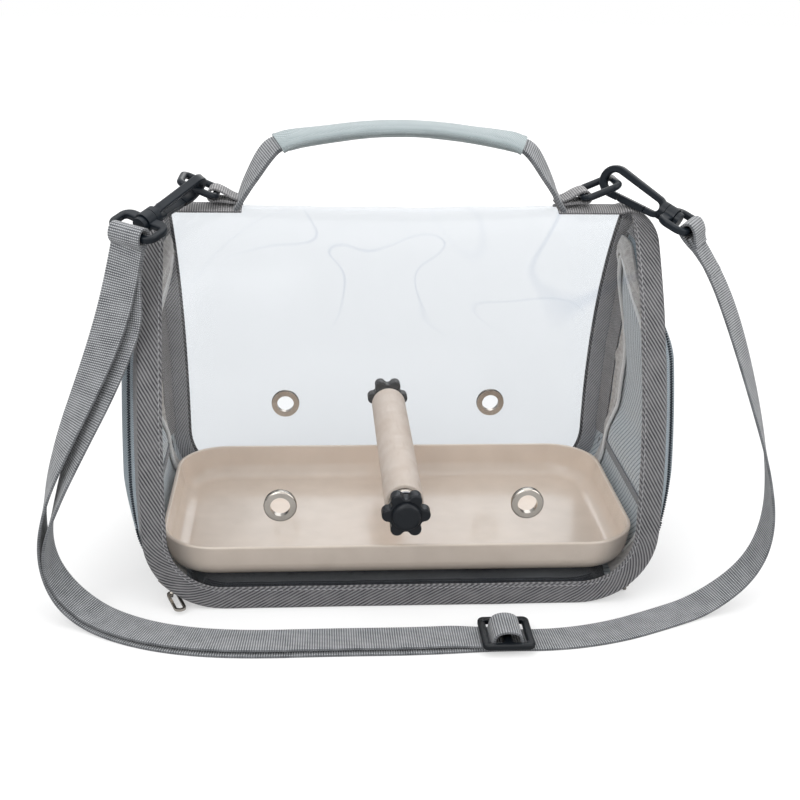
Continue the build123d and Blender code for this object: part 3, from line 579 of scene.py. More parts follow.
# %% Clear sheet
EYELETS = (-65.2, 0.0, 65.2)
EYELET_HEIGHT = 60.6
PUNCH_RADIUS = 7.2
SHEET_FOOT = 1.4
WAVE_LIFT = 1.5
CALM_RIM = (10, 34)  # from the sheet's rim, where the waves begin and where they are full
CALM_EYELET = (9, 24)


def ripple(x, y, z):
    """Smooth noise, from about -1 to 1, at a place in noise space."""
    return noise.noise(Vector((x, y, z)))


def sheet_place(across, along):
    """Place on the sheet, with slow waves that die out at its rim and eyelets."""
    y, z, ny, nz = on_arch(BODY_ARCH, along, SHEET_FOOT, WEBBING + SHEET / 2)
    x = (2 * across - 1) * end_x(z, WEBBING)
    calm = eased(min(end_x(z, WEBBING) - abs(x), z), *CALM_RIM)
    for eyelet in EYELETS:
        calm *= eased(math.hypot(x - eyelet, z - EYELET_HEIGHT), *CALM_EYELET)
    wave = ripple(x * 0.016, along * 5.2, 3.0) + 0.5 * ripple(x * 0.034, along * 11, 8.0)
    lift = WAVE_LIFT * calm * wave
    return x, y + ny * lift, z + nz * lift


sheet_size = (2 * HALF_WIDTH, arch_length(BODY_ARCH, SHEET_FOOT))
sheet = lay("clear_sheet", 110, 170, sheet_place, *sheet_size)
edit(sheet, "DESELECT")
bpy.ops.mesh.select_mode(type="FACE")
edited()
for face in sheet.data.polygons:
    x, z = face.center.x / MM, face.center.z / MM
    face.select = any(math.hypot(x - at, z - EYELET_HEIGHT) < PUNCH_RADIUS for at in EYELETS)
bpy.ops.object.mode_set(mode="EDIT")
bpy.ops.mesh.delete(type="FACE")
bpy.ops.mesh.select_mode(type="VERT")
edited()
thicken(sheet, SHEET, edge=0)
finish(sheet, "bag", "clear_sheet", CLEAR_VINYL, "clear_wrap")
print("flat size", [round(x) for x in sheet_size])

# %% [markdown]
# ## Bound edges
# A strip of webbing is folded over each long edge of the bag and sewn through: 13 mm on the face
# and 9 mm on the end or base. It could be swept along a curve, but its two legs lie on surfaces
# that bend differently. So it is one long grid, from the ridge down one end, round the corner,
# along the foot and up the other end. First come the stations along it and the points across it.

# %% Stations and points of the bound edges
RIDGE_INNER = HALF_WIDTH - FACE_WIDTH
FACE_LEG = (13.0, 12.5, 10.5, 8.0, 5.5, 3.2, 1.9)  # distances from the fold
END_LEG = (1.9, 3.2, 5.2, 7.4, 8.6, 9.0)
FOLD = (0.25, 0.5, 0.75)
LEG_SWELL = 0.8  # share of the end's swell that the webbing follows


def edge_stations():
    """Stations from the left ridge round the foot to the right ridge: (side, kind, value)."""
    down = [("side", 0.5 - 0.5 * i / 56) for i in range(57)]
    corner = [("corner", 90 * i / 14) for i in range(1, 14)]
    left = [(-1, *station) for station in down + corner]
    flat = HALF_WIDTH - CORNER_RADIUS
    foot = [(1, "foot", flat * (2 * i / 40 - 1)) for i in range(41)]
    rest = [(1, *station[1:]) for station in reversed(left)]
    return left + foot + rest


def edge_point(station, leg, depth, face):
    """Point of the binding on its face leg or its end leg, this far from the fold."""
    side, kind, value = station
    on_face = leg == "face"
    if kind == "foot":
        y = HALF_DEPTH if on_face else HALF_DEPTH - depth
        return value, y * face, depth if on_face else 0.0
    if kind == "corner":
        a = math.radians(value)
        radius = CORNER_RADIUS - (depth if on_face else 0)
        x = HALF_WIDTH - CORNER_RADIUS + radius * math.cos(a)
        y = HALF_DEPTH - (0 if on_face else depth)
        return side * x, y * face, CORNER_RADIUS - radius * math.sin(a)
    y, z, ny, nz = on_arch(BODY_ARCH, value, CORNER_RADIUS)
    y, ny = abs(y), abs(ny)
    if on_face:
        width = max(end_x(z) - RIDGE_INNER, 0.6) / FACE_WIDTH
        return side * (end_x(z) - depth * min(width, 1)), y * face, z
    y, z = max(y - depth * ny, 0), z - depth * nz
    return side * (end_x(z) + LEG_SWELL * end_swell(side, depth, z)), y * face, z


def edge_out(station, face):
    """Outward way of the face leg at a station."""
    if station[1] != "side":
        return Vector((0, face, 0))
    y, z, ny, nz = on_arch(BODY_ARCH, station[2], CORNER_RADIUS)
    return Vector((0, abs(ny) * face, nz))


print("edge stations", len(edge_stations()))

# %% [markdown]
# Across the grid lie the face leg, the fold and the end leg. Through the clear sheet the binding's
# inner leg shows too, paler, so a second thin band lies inside on each side. It is the same
# webbing; its paler twill is painted light, for the haze and the reflections of the sheet in front
# of it.


# %% Bound edges
def spans(points):
    """Running length along a line of points."""
    far = [0.0]
    for before, after in zip(points, points[1:]):
        far.append(far[-1] + (Vector(after) - Vector(before)).length)
    return far


def edge_section(station, face):
    """Points across the binding: the face leg, the fold and the end leg."""
    line = [edge_point(station, "face", depth, face) for depth in FACE_LEG]
    corner = edge_point(station, "face", 0, face)
    near, far = line[-1], edge_point(station, "end", END_LEG[0], face)
    for t in FOLD:
        weights = ((1 - t) ** 2, 2 * t * (1 - t), t * t)
        line.append(tuple(sum(w * v for w, v in zip(weights, p)) for p in zip(near, corner, far)))
    return line + [edge_point(station, "end", depth, face) for depth in END_LEG]


def edge_binding(name, face):
    """One long bound edge. face is -1 for the front and 1 for the back."""
    sections = [edge_section(station, face) for station in edge_stations()]
    columns, rows = len(sections[0]) - 1, len(sections) - 1
    lengths, widths = spans([section[7] for section in sections]), spans(sections[rows // 2])

    def place(across, along):
        x, y, z = sections[round(along * rows)][round(across * columns)]
        return x, y + 0.35 * ripple(x * 0.05, y * 0.05, z * 0.05) * face, z

    strip = lay(name, columns, rows, place, 1 / MM, 1 / MM)
    for spot in strip.data.uv_layers.active.data:
        across, along = round(spot.uv.x * columns), round(spot.uv.y * rows)
        spot.uv = (widths[across] * MM, lengths[along] * MM)
    return outward(thicken(strip, WEBBING, offset=1.0 * face, edge=0.35))


# %% Inner legs
INNER_LEG = (2.4, 4.5, 7.0, 9.5, 11.6)  # distances from the fold
INNER_DEPTH = WEBBING + SHEET + 0.7


def inner_leg(name, side, face):
    """The binding's leg inside the sheet, from the ridge down round the corner."""
    lines = []
    for station in edge_stations():
        if station[0] == side and station[1] != "foot":
            inward = edge_out(station, face) * INNER_DEPTH
            points = [edge_point(station, "face", depth, face) for depth in INNER_LEG]
            lines.append([Vector(point) - inward for point in points])
    rows = len(lines) - 1

    def place(across, along):
        return lines[round(along * rows)][round(across * 4)]

    size = (INNER_LEG[-1] - INNER_LEG[0], spans([line[2] for line in lines])[-1])
    return cloth_piece(name, (4, rows), place, size, 0.8, edge=0.2)


# %% Both bound edges
for label, face in FACES:
    strip = edge_binding(f"{label}_bound_edge", face)
    finish(strip, "bag", "edge_webbing", EDGE_TWILL, f"{label}_edge_webbing")
    for where, side in SIDES:
        leg = inner_leg(f"{label}_{where}_inner_leg", side, face)
        # the inner leg gets the paler twill, painted light for the sheet's haze and reflections
        finish(leg, "bag", "edge_webbing", INNER_TWILL_PAINTED_LIGHT)

# %% [markdown]
# ## Base
# The base cloth is a trough: it runs from one door's fold, round the corner, under the bag and up
# to the other door. A pale lining lies inside it, and shows in the lower corners. Each could be a
# flat sheet bent by a modifier. Laid on the same form as the ends, they meet the doors' folds.


# %% Base cloth and lining
CORNER_ARC = CORNER_RADIUS * math.pi / 2
BASE_WALL = DOOR_FOOT - CORNER_RADIUS - WEBBING  # upright stretch between corner and fold
BASE_FLAT = 2 * (HALF_WIDTH - CORNER_RADIUS)
TROUGH_LENGTH = 2 * BASE_WALL + 2 * CORNER_ARC + BASE_FLAT


def round_the_base(share, inset):
    """Place (x, z) on the trough, from the left fold (0) to the right fold (1)."""
    far, side = share * TROUGH_LENGTH, -1
    if far > TROUGH_LENGTH / 2:
        far, side = TROUGH_LENGTH - far, 1
    if far < BASE_WALL:
        return side * (HALF_WIDTH - inset), CORNER_RADIUS + BASE_WALL - far
    if far < BASE_WALL + CORNER_ARC:
        a, reach = (far - BASE_WALL) / CORNER_RADIUS, CORNER_RADIUS - inset
        x = HALF_WIDTH - CORNER_RADIUS + reach * math.cos(a)
        return side * x, CORNER_RADIUS - reach * math.sin(a)
    return side * (BASE_FLAT / 2 - (far - BASE_WALL - CORNER_ARC)), inset


def trough(name, half, inset, thickness):
    """Cloth of this half depth, on the trough at this distance inside its outer form."""

    def place(across, along):
        x, z = round_the_base(along, inset)
        y = (2 * across - 1) * half
        side = -1 if x < 0 else 1
        return x + side * end_swell(side, HALF_DEPTH - abs(y), z), y, z

    return cloth_piece(name, (24, 120), place, (2 * half, TROUGH_LENGTH), thickness)


CLOTH_TROUGH, LINING_TROUGH = (66.6, 0.75, 1.2), (73.4, 2.0, 1.1)
cloth = trough("base_cloth", *CLOTH_TROUGH)
finish(cloth, "bag", "base_fabric", GUSSET_CLOTH, "base_gusset")
lining = trough("base_lining", *LINING_TROUGH)
finish(lining, "bag", "base_fabric", LINING_MESH)

# %% [markdown]
# The board is a stiff plate in a padded cloth cover, and the tray stands on it. A plain box with
# a bevel would look hard, so it is a crowned grid with small creases, closed below.

# %% Padded board
BOARD_HALF_X, BOARD_HALF_Y, BOARD_CORNER = 118.0, 72.8, 26.0
BOARD_RIM, BOARD_CROWN = 4.6, 7.6  # height of its rim, and of its top above that


def board_place(across, along):
    """Padded board: crowned top, round corners and soft edges."""
    reach_x, reach_y = 2 * along - 1, 2 * across - 1
    x, y = reach_x * BOARD_HALF_X, reach_y * BOARD_HALF_Y
    flat_x, flat_y = BOARD_HALF_X - BOARD_CORNER, BOARD_HALF_Y - BOARD_CORNER
    over_x, over_y = abs(x) - flat_x, abs(y) - flat_y
    if over_x > 0 and over_y > 0:
        stretch = max(over_x, over_y) / math.hypot(over_x, over_y)
        x = math.copysign(flat_x + over_x * stretch, x)
        y = math.copysign(flat_y + over_y * stretch, y)
    rim = 1 - eased(max(abs(reach_x), abs(reach_y)), 0.93, 1.0)
    crease = 0.5 * ripple(x * 0.04, y * 0.04, 1.0) + 0.35 * ripple(x * 0.12, y * 0.12, 5.0)
    return x, y, BOARD_RIM + BOARD_CROWN * rim**0.5 + crease * (0.3 + rim) * 0.6


board = lay("base_pad", 60, 90, board_place, 2 * BOARD_HALF_Y, 2 * BOARD_HALF_X)
edit(board)
bpy.ops.mesh.extrude_region_move(TRANSFORM_OT_translate={"value": (0, 0, -1.2 * MM)})
bpy.ops.transform.resize(value=(0.995, 0.995, 0.0), orient_type="GLOBAL")
edited()
for corner in board.data.vertices:
    corner.co.z = max(corner.co.z, 0.0)
finish(board, "bag", "board", BOARD_CLOTH, "base_board")

# %% [markdown]
# ## Ends
# The soft ends stand a few millimetres proud of their bound edges, so that the zip shows beside
# the bag. Each end has a fixed zip tape, the zip, and a door: its own tape, the net, a felt
# binding and a piping inside, and a webbing sill along its fold. They could be cut from one mesh,
# but each has a weave and a body of its own. So each is laid at its own depth below the same
# swelled form, which keeps the layers in order.


# %% Places on an end
def arch_half(shape, z, inset=0.0):
    """Half depth of a tent shape at a height."""
    half, top, crown, lean, angle = shape
    if z <= WALL_RISE:
        return half - inset
    if z - WALL_RISE < (lean - inset) * math.sin(angle):
        return half - lean + math.sqrt((lean - inset) ** 2 - (z - WALL_RISE) ** 2)
    return math.sqrt(max((crown - inset) ** 2 - (z - top + crown) ** 2, 0))


def depth_inside(y, z):
    """Distance in from the bag's tent shape."""
    half, top, crown, lean, angle = BODY_ARCH
    if z < WALL_RISE:
        return half - abs(y)
    across, rise = abs(y) + lean - half, z - WALL_RISE
    if math.atan2(rise, across) < angle:
        return lean - math.hypot(across, rise)
    return crown - math.hypot(y, z - top + crown)


def end_spot(side, y, z, depth):
    """Place on one end, at a depth below its outer face."""
    return side * (end_x(z, depth) + end_swell(side, depth_inside(y, z), z)), y, z


# %% Bands on an end
def raised_tape(inset):
    """Depth of the door's tape: beside the zip, then standing a little proud of it."""
    return 0.8 - 1.4 * eased(inset, 15, 19.5)


def under_webbing(inset):
    """Depth of the fixed tape: under the bound edge, then level with the zip."""
    return 2.1 - 1.4 * eased(inset, 8.8, 11.2)


def end_ring(name, side, band, foot, depth, thickness, columns=5, wavy=0.0):
    """Arched band on one end. band is its two edges, each a (tent shape, inset)."""
    length = arch_length(band[0][0], foot)

    def edges(share):
        return [on_arch(shape, share, foot, inset)[:2] for shape, inset in band]

    def place(across, along):
        y, z = (a + (b - a) * across for a, b in zip(*edges(along)))
        x, y, z = end_spot(side, y, z, depth(depth_inside(y, z)) if callable(depth) else depth)
        wave = wavy * ripple(along * 26, across * 1.5, side * 4.0)
        return x - side * abs(wave), y + wave * 0.8, z + wave * 0.8

    grid, size = (columns, round(length / 3)), (math.dist(*edges(0.3)), length)
    return cloth_piece(name, grid, place, size, thickness, edge=0.25)


# %% [markdown]
# ### Zips
# The zip is a nylon coil: hundreds of equal turns on either side of the slit. A repeated texture
# would be flat, so one turn is modelled and copied along the line. Below the door the closed zip
# runs on down the lower corner. The fixed tape lies under the bound edge, and a seam tape under it.


# %% Copies along a line
def link(name, data):
    """A new object in the scene with this curve or mesh."""
    piece = bpy.data.objects.new(name, data)
    bpy.context.scene.collection.objects.link(piece)
    return piece


def repeated(name, seed, places):
    """One mesh with a copy of the seed at each place. The seed is removed."""
    points, faces = [], []
    for place in places:
        start = len(points)
        points += [place @ corner.co for corner in seed.data.vertices]
        faces += [[start + i for i in face.vertices] for face in seed.data.polygons]
    mesh = bpy.data.meshes.new(name)
    mesh.from_pydata(points, [], faces)
    piece = link(name, mesh)
    bpy.data.objects.remove(seed)
    return piece


def bead(stretch, segments, rings):
    """Seed of a stitch or a zip turn: a one-millimetre ball stretched along X, Y and Z."""
    bpy.ops.object.select_all(action="DESELECT")
    bpy.ops.mesh.primitive_uv_sphere_add(segments=segments, ring_count=rings, radius=0.5 * MM)
    bpy.ops.transform.resize(value=stretch)
    bpy.ops.object.transform_apply(scale=True)
    return bpy.context.object


def standing(at, along, out):
    """Placing matrix: local X points along, local Z points out, at a place in millimetres."""
    along = Vector(along).normalized()
    out = (Vector(out) - along * Vector(out).dot(along)).normalized()
    turned = Matrix((along, out.cross(along), out)).transposed().to_4x4()
    turned.translation = Vector(at) * MM
    return turned


# %% Coil of the zip
TOOTH_PITCH = 1.35
TOOTH = ((2.4, 0.95, 1.4), 8, 5)
FIXED_FOOT, COIL_FOOT = 43.0, 44.2  # of the coil on the bag, and on the door
TAIL_TURN = math.radians(54)  # how far the closed zip runs down the corner
COIL_HALF = 0.75  # from the slit to the middle of one half of the coil


def coil_places(side, inset, foot, start):
    """Places of the coil's turns along the zip line of one end."""
    length, hand = arch_length(DOOR_ARCH, foot), math.copysign(1, -inset)
    places = []
    for number in range(int(length / TOOTH_PITCH) - 1):
        y, z, ny, nz = on_arch(DOOR_ARCH, (number + start) * TOOTH_PITCH / length, foot, inset)
        spot = end_spot(side, y, z, -0.1 - 0.2 * side)
        places.append(standing(spot, (0, ny * hand, nz * hand), (side, 0.15 * ny, 0)))
    return places


def tail_places(side):
    """Places of the closed zip's turns below the door, down the lower corner."""
    places, reach = [], CORNER_RADIUS + 0.35
    for number in range(int(TAIL_TURN * CORNER_RADIUS / TOOTH_PITCH)):
        for way in (-1, 1):
            a = (number + 0.5 * (way > 0)) * TOOTH_PITCH / CORNER_RADIUS
            x = HALF_WIDTH - CORNER_RADIUS + reach * math.cos(a)
            z = CORNER_RADIUS - reach * math.sin(a)
            spot = side * (x + end_swell(side, 14, z)), -ZIP_LINE + COIL_HALF * way, z
            places.append(standing(spot, (0, way, 0), (side * math.cos(a), 0, -math.sin(a))))
    return places


print("turns on one door", int(arch_length(DOOR_ARCH, COIL_FOOT) / TOOTH_PITCH) - 1)

# %% Zips
FIXED_BAND = (BODY_ARCH, 2.2), (DOOR_ARCH, -0.15)  # from under the webbing to the slit
SEAM_BAND = (BODY_ARCH, 4.0), (DOOR_ARCH, -1.2)
DOOR_BAND = (DOOR_ARCH, 0.15), (DOOR_ARCH, 6.4)  # from the slit in over the net
BAND_FOOT = 42.2
TAPE_THICK, SEAM_THICK, SEAM_DEPTH = 1.0, 0.8, 3.2


def add_zip(label, side):
    """Fixed tape, seam tape and fixed coil on the bag, tape and coil on the door."""
    name, fixed = f"{label}_fixed_tape", (FIXED_BAND, BAND_FOOT, under_webbing, TAPE_THICK, 12)
    finish(end_ring(name, side, *fixed), "bag", "zip_tape", ZIP_TAPE, f"{label}_zip_tape")
    name, seam_tape = f"{label}_seam_tape", (SEAM_BAND, BAND_FOOT, SEAM_DEPTH, SEAM_THICK)
    finish(end_ring(name, side, *seam_tape, wavy=0.4), "bag", "edge_webbing", TAB_RIBS)
    places = coil_places(side, -COIL_HALF, FIXED_FOOT, 0.5) + tail_places(side)
    turns = repeated(f"{label}_fixed_coil", bead(*TOOTH), places)
    finish(turns, "bag", "zip_coil", COIL_NYLON, f"{label}_zip_coil", angle=80)

    name, door = f"{label}_door_edge", f"{label}_door"
    tape = end_ring(name, side, DOOR_BAND, DOOR_FOOT, raised_tape, TAPE_THICK)
    finish(tape, door, "zip_tape", ZIP_TAPE, f"{label}_door_tape")
    places = coil_places(side, COIL_HALF, COIL_FOOT, 1.0)
    turns = repeated(f"{label}_door_turns", bead(*TOOTH), places)
    finish(turns, door, "zip_coil", COIL_NYLON, f"{label}_door_coil", angle=80)


# %% [markdown]
# ### Doors
# The net is one flat cut, laid on the end. The felt binding and the white piping run round its
# arch on the inside. The felt ripples a little between its stitches, as a soft band does on the
# inside of a curve.

# %% Doors
NET_TOP = 181.9
NET_INSET, PIPING_INSET = 6.0, 12.2  # inside the zip line
FELT_BAND = (DOOR_ARCH, 0.8), (DOOR_ARCH, 11.2)
NET_DEPTH, FELT_DEPTH, PIPING_DEPTH = 1.8, 3.9, 4.4  # below the outer face of the end
FELT_THICK = 2.2
PIPING_RADIUS = 1.1


def rope(name, line, radius):
    """Round cord along a line of points in millimetres."""
    curve = bpy.data.curves.new(name, "CURVE")
    curve.dimensions = "3D"
    spline = curve.splines.new("POLY")
    spline.points.add(len(line) - 1)
    for spot, point in zip(spline.points, line):
        spot.co = (*(Vector(point) * MM), 1)
    curve.bevel_depth, curve.bevel_resolution, curve.use_fill_caps = radius * MM, 3, True
    hold(link(name, curve))
    bpy.ops.object.convert(target="MESH")
    return bpy.context.object


def add_door(label, side):
    """Net, felt binding and piping of one door."""
    door = f"{label}_door"

    def net_place(across, along):
        z = DOOR_FOOT + (NET_TOP - DOOR_FOOT) * along
        y = (2 * across - 1) * arch_half(DOOR_ARCH, z, NET_INSET)
        x, y, z = end_spot(side, y, z, NET_DEPTH)
        return x + side * 0.5 * ripple(y * 0.03, z * 0.03, 2.0), y, z

    net = lay(f"{label}_net", 30, 48, net_place, 1, 1)
    layer, points = net.data.uv_layers.active.data, net.data.vertices
    for loop in net.data.loops:
        layer[loop.index].uv = points[loop.vertex_index].co.yz
    finish(thicken(net, 0.6, edge=0), door, "mesh", DOOR_NET, f"{label}_door_mesh")

    name, felt_size = f"{label}_felt", (FELT_DEPTH, FELT_THICK, 8)
    band = end_ring(name, side, FELT_BAND, DOOR_FOOT, *felt_size, wavy=1.4)
    finish(band, door, "binding", BINDING_FELT, f"{label}_door_binding", angle=60)
    line = [on_arch(DOOR_ARCH, i / 120, DOOR_FOOT, PIPING_INSET)[:2] for i in range(121)]
    line = [end_spot(side, y, z, PIPING_DEPTH) for y, z in line]
    piping = rope(f"{label}_piping", line, PIPING_RADIUS)
    finish(piping, door, "piping", PIPING_CORD, f"{label}_door_piping")


print("net cut", [round(2 * (ZIP_LINE - NET_INSET)), round(NET_TOP - DOOR_FOOT)])

# %% [markdown]
# ### Corner tails and door fold
# Below its fold a door's trim goes on as short tails that stay on the bag: tape, felt and piping
# run round the lower corner. The fold itself is a strip of cloth. On the bag it bends each time
# the door opens; here it is a plain strip with no body, and the sill above it moves with the door.


# %% Corner tails
TAIL_LENGTH = 42.0
TAPE_TAIL, FELT_TAIL, PIPING_TAIL = (61.8, 55.6), (61.2, 50.8), 49.8  # half depths


def corner_spot(side, y, far, depth):
    """Place on a lower corner of an end, this far down from the door's foot."""
    straight = 1.3
    a, reach = max(far - straight, 0) / CORNER_RADIUS, CORNER_RADIUS - depth
    x, z = HALF_WIDTH - CORNER_RADIUS + reach * math.cos(a), CORNER_RADIUS - reach * math.sin(a)
    z += max(straight - far, 0)
    return side * (x + end_swell(side, HALF_DEPTH - abs(y), z)), y, z


def corner_band(name, side, near, far, depth, thickness, wavy=0.0):
    """Band that goes on from a door's trim, round the lower corner, to the base."""

    def place(across, along):
        y = near + (far - near) * across
        below = depth(HALF_DEPTH - abs(y)) if callable(depth) else depth
        x, y, z = corner_spot(side, y, TAIL_LENGTH * along, below)
        wave = wavy * ripple(along * 5, across * 1.5, side * 4.0 + near)
        return x - side * abs(wave), y + wave * 0.8, z

    size = (abs(far - near), TAIL_LENGTH)
    return cloth_piece(name, (6, 18), place, size, thickness, edge=0.25)


def add_tails(label, side):
    """The door's trim carried on round both lower corners."""
    for where, face in FACES:
        start = f"{label}_{where}"
        near, far = (face * y for y in TAPE_TAIL)
        tail = corner_band(f"{start}_tape_tail", side, near, far, raised_tape, TAPE_THICK)
        finish(tail, "bag", "zip_tape", ZIP_TAPE)
        near, far = (face * y for y in FELT_TAIL)
        tail = corner_band(f"{start}_felt_tail", side, near, far, FELT_DEPTH, FELT_THICK, wavy=1.0)
        finish(tail, "bag", "binding", BINDING_FELT, angle=60)
        steps = [TAIL_LENGTH * i / 20 for i in range(21)]
        line = [corner_spot(side, face * PIPING_TAIL, step, PIPING_DEPTH) for step in steps]
        tail = rope(f"{start}_piping_tail", line, PIPING_RADIUS)
        finish(tail, "bag", "piping", PIPING_CORD)


# %% Folds and sills
FOLD_STRIP = (61.4, 40.6, 4.8, 2.6, 0.9, 0.2)  # half depth, foot, height, depth, thickness, edge
SILL_STRIP = (60.2, DOOR_FOOT + 0.1, 6.8, 0.7, 1.4, 0.3)


def end_strip(name, columns, side, half, foot, height, depth, thickness, edge):
    """Level strip across one end, from its foot up, at a depth below its outer face."""

    def place(across, along):
        return end_spot(side, (2 * along - 1) * half, foot + height * across, depth)

    return cloth_piece(name, (columns, 40), place, (height, 2 * half), thickness, edge=edge)


def add_fold(label, side):
    """The strip that bends as the door opens, and the sill above it."""
    door = f"{label}_door"
    fold = end_strip(f"{label}_door_fold", 6, side, *FOLD_STRIP)
    hold(fold)
    fold.data.materials.append(GUSSET_CLOTH)
    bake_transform(fold)
    sill = end_strip(f"{label}_sill", 5, side, *SILL_STRIP)
    finish(sill, door, "edge_webbing", EDGE_TWILL, f"{label}_door_sill")


# %% Both ends
for label, side in SIDES:
    for add in (add_zip, add_door, add_tails, add_fold):
        add(label, side)

# %% [markdown]
# ## Webbing ribbons
# A strap bends and twists but hardly stretches across. A flat strip swept along a curve would
# turn over at sharp bends. So a ribbon is laid between two smooth NURBS lines, one for each of
# its edges, and the way of its width is given at each place on the route.


# %% Smooth line
def smooth_line(points):
    """Points on the NURBS line of order 3 that these control points make."""
    curve = bpy.data.curves.new("line", "CURVE")
    curve.dimensions = "3D"
    spline = curve.splines.new("NURBS")
    spline.points.add(len(points) - 1)
    for spot, point in zip(spline.points, points):
        spot.co = (*(Vector(point) * MM), 1)
    spline.order_u = 3
    spline.use_endpoint_u = True
    spline.resolution_u = 16
    holder = bpy.data.objects.new("line", curve)
    mesh = bpy.data.meshes.new_from_object(holder)
    line = [corner.co / MM for corner in mesh.vertices]
    bpy.data.objects.remove(holder)
    bpy.data.meshes.remove(mesh)
    return line


# %% Stations of a ribbon
def ribbon_stations(route, spacing=2.5):
    """Even stations [middle, way ahead, way across] on a route of (point, width way)."""
    edges = []
    for side in (10, -10):
        corners = [Vector(point) + Vector(way).normalized() * side for point, way in route]
        edges.append(smooth_line(corners))
    middles = [(a + b) / 2 for a, b in zip(*edges)]
    across = [(a - b).normalized() for a, b in zip(*edges)]
    far = spans(middles)
    count = max(round(far[-1] / spacing), 4)
    stations, index = [], 0
    for number in range(count + 1):
        goal = far[-1] * number / count
        while index < len(far) - 2 and far[index + 1] < goal:
            index += 1
        t = min((goal - far[index]) / max(far[index + 1] - far[index], 1e-9), 1)
        middle = middles[index].lerp(middles[index + 1], t)
        stations.append([middle, None, across[index].lerp(across[index + 1], t).normalized()])
    for number, station in enumerate(stations):
        before, after = stations[max(number - 1, 0)][0], stations[min(number + 1, count)][0]
        station[1] = (after - before).normalized()
    return stations, far[-1]


def ribbon(name, stations, length, width, thickness):
    """Webbing with softly rounded selvedges through the stations."""
    rows = len(stations) - 1

    def place(across, along):
        middle, onward, side = stations[round(along * rows)]
        return middle + side * (across - 0.5) * (width - thickness * 0.3)

    return cloth_piece(name, (8, rows), place, (width, length), thickness, edge=0.4)


# %% [markdown]
# ## Handle
# The handle is a strap whose roots are sewn to the ridge. The lowest stretch of the strap bends
# as the handle folds over. Its roots are pressed down on the round ridge.

# %% Handle strap
SIDEWAYS = (0, 1, 0)
STRAP_WIDTH, STRAP_THICK = 20.0, 1.4
HANDLE_THICK = 2.2
HANDLE_HALF = [  # (x, z) and how the width way leans there, root first
    (88.5, 204.2, 0, 0), (80.5, 217.5, 0.24, -0.12), (71.0, 233.2, 0.36, -0.2),
    (63.5, 237.8, 0.22, -0.14), (48.0, 240.4, 0.05, -0.05), (20.0, 244.2, 0, 0),
]
HANDLE_ROUTE = [((-x, 0, z), (-a, 1, -b)) for x, z, a, b in HANDLE_HALF]
HANDLE_ROUTE.append(((0, 0, 245.0), SIDEWAYS))
HANDLE_ROUTE += [((x, 0, z), (a, 1, -b)) for x, z, a, b in reversed(HANDLE_HALF)]
handle_line, handle_length = ribbon_stations(HANDLE_ROUTE)

strap = ribbon("handle_webbing", handle_line, handle_length, STRAP_WIDTH, HANDLE_THICK)
for corner in strap.data.vertices:
    y, z = corner.co.y / MM, corner.co.z / MM
    ridge_drop = RIDGE_RADIUS - math.sqrt(RIDGE_RADIUS**2 - y * y)
    corner.co.z -= (1 - eased(z, 204.0, 216.0)) * ridge_drop * MM
smooth(strap, STRAP_RIBS)
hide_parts("handle_strap")
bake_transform(strap)
print("handle strap", round(handle_length), "mm")

# %% [markdown]
# A padded sleeve is stitched round the strap's middle. Its filling makes it a flat oval, fuller in
# the middle and gathered at its ends, with a groove beside each piped edge. It could be inflated
# as cloth. The groove and the gathers are few and regular, so they are laid directly.

# %% Padded grip
GRIP_HALF = 66.0
GRIP_HALF_WIDTH, GRIP_HALF_HIGH = 12.9, 3.7
GROOVE_AT, GROOVE_WIDTH, GROOVE_DEPTH = 9.6, 1.2, 0.16
grip_line = [station for station in handle_line if abs(station[0].x) <= GRIP_HALF]
grip_rows = len(grip_line) - 1


def oval(value, power):
    """A sine or cosine made fuller, as on a flat oval."""
    return math.copysign(abs(value) ** power, value)


def grip_place(across, along):
    """Round about the strap: a flat oval, fuller in the middle and gathered at its ends."""
    middle, onward, side = grip_line[round(along * grip_rows)]
    a = 2 * math.pi * across
    ends = min(along, 1 - along) * grip_rows
    wide = oval(math.cos(a), 0.62) * GRIP_HALF_WIDTH * (0.93 + 0.07 * eased(ends, 0, 2))
    high = oval(math.sin(a), 0.8) * GRIP_HALF_HIGH * (0.78 + 0.22 * eased(ends, 0, 3))
    high *= 1 - GROOVE_DEPTH * math.exp(-(((abs(wide) - GROOVE_AT) / GROOVE_WIDTH) ** 2))
    high += 0.16 * ripple(middle.x * 0.09, wide * 0.2, 4.0 + math.copysign(1, high))
    return middle + side * wide + onward.cross(side) * high


grip = lay("grip_sleeve", 40, grip_rows, grip_place, GRIP_HALF, 2 * GRIP_HALF)
edit(grip)
bpy.ops.mesh.remove_doubles(threshold=1e-6)
bpy.ops.mesh.select_all(action="DESELECT")
bpy.ops.mesh.select_non_manifold(extend=False)
bpy.ops.mesh.edge_face_add()
edited()
finish(outward(grip), "handle", "grip", GRIP_CLOTH, "handle_grip", angle=50)
for label, side in FACES:
    line = [middle + across * GRIP_HALF_WIDTH * side for middle, onward, across in grip_line]
    finish(rope(f"grip_piping_{label}", line, 1.15), "handle", "grip", GRIP_CLOTH)

# %% [markdown]
# ## Ridge tabs and ring loops
# From each handle root a tab of webbing lies along the ridge and over the corner. A short loop,
# sewn down on it, holds the side ring. Both are stiff and stay where they are sewn, so they ride
# on the bag: the tab is laid on the ridge's own form, and the loop follows its short route.

# %% Ridge tabs and ring loops
TAB_FROM, TAB_TO = 85.0, 131.0
TAB_THICK, LOOP_THICK = 1.3, 1.2
LOOP_WIDTH = 15.4
LOOP_ROUTE = [
    (84.5, 205.3), (91.0, 206.3), (97.0, 207.0), (102.4, 206.8), (102.8, 211.4),
    (99.6, 213.7), (94.6, 211.6), (89.4, 208.2), (84.5, 206.8),
]


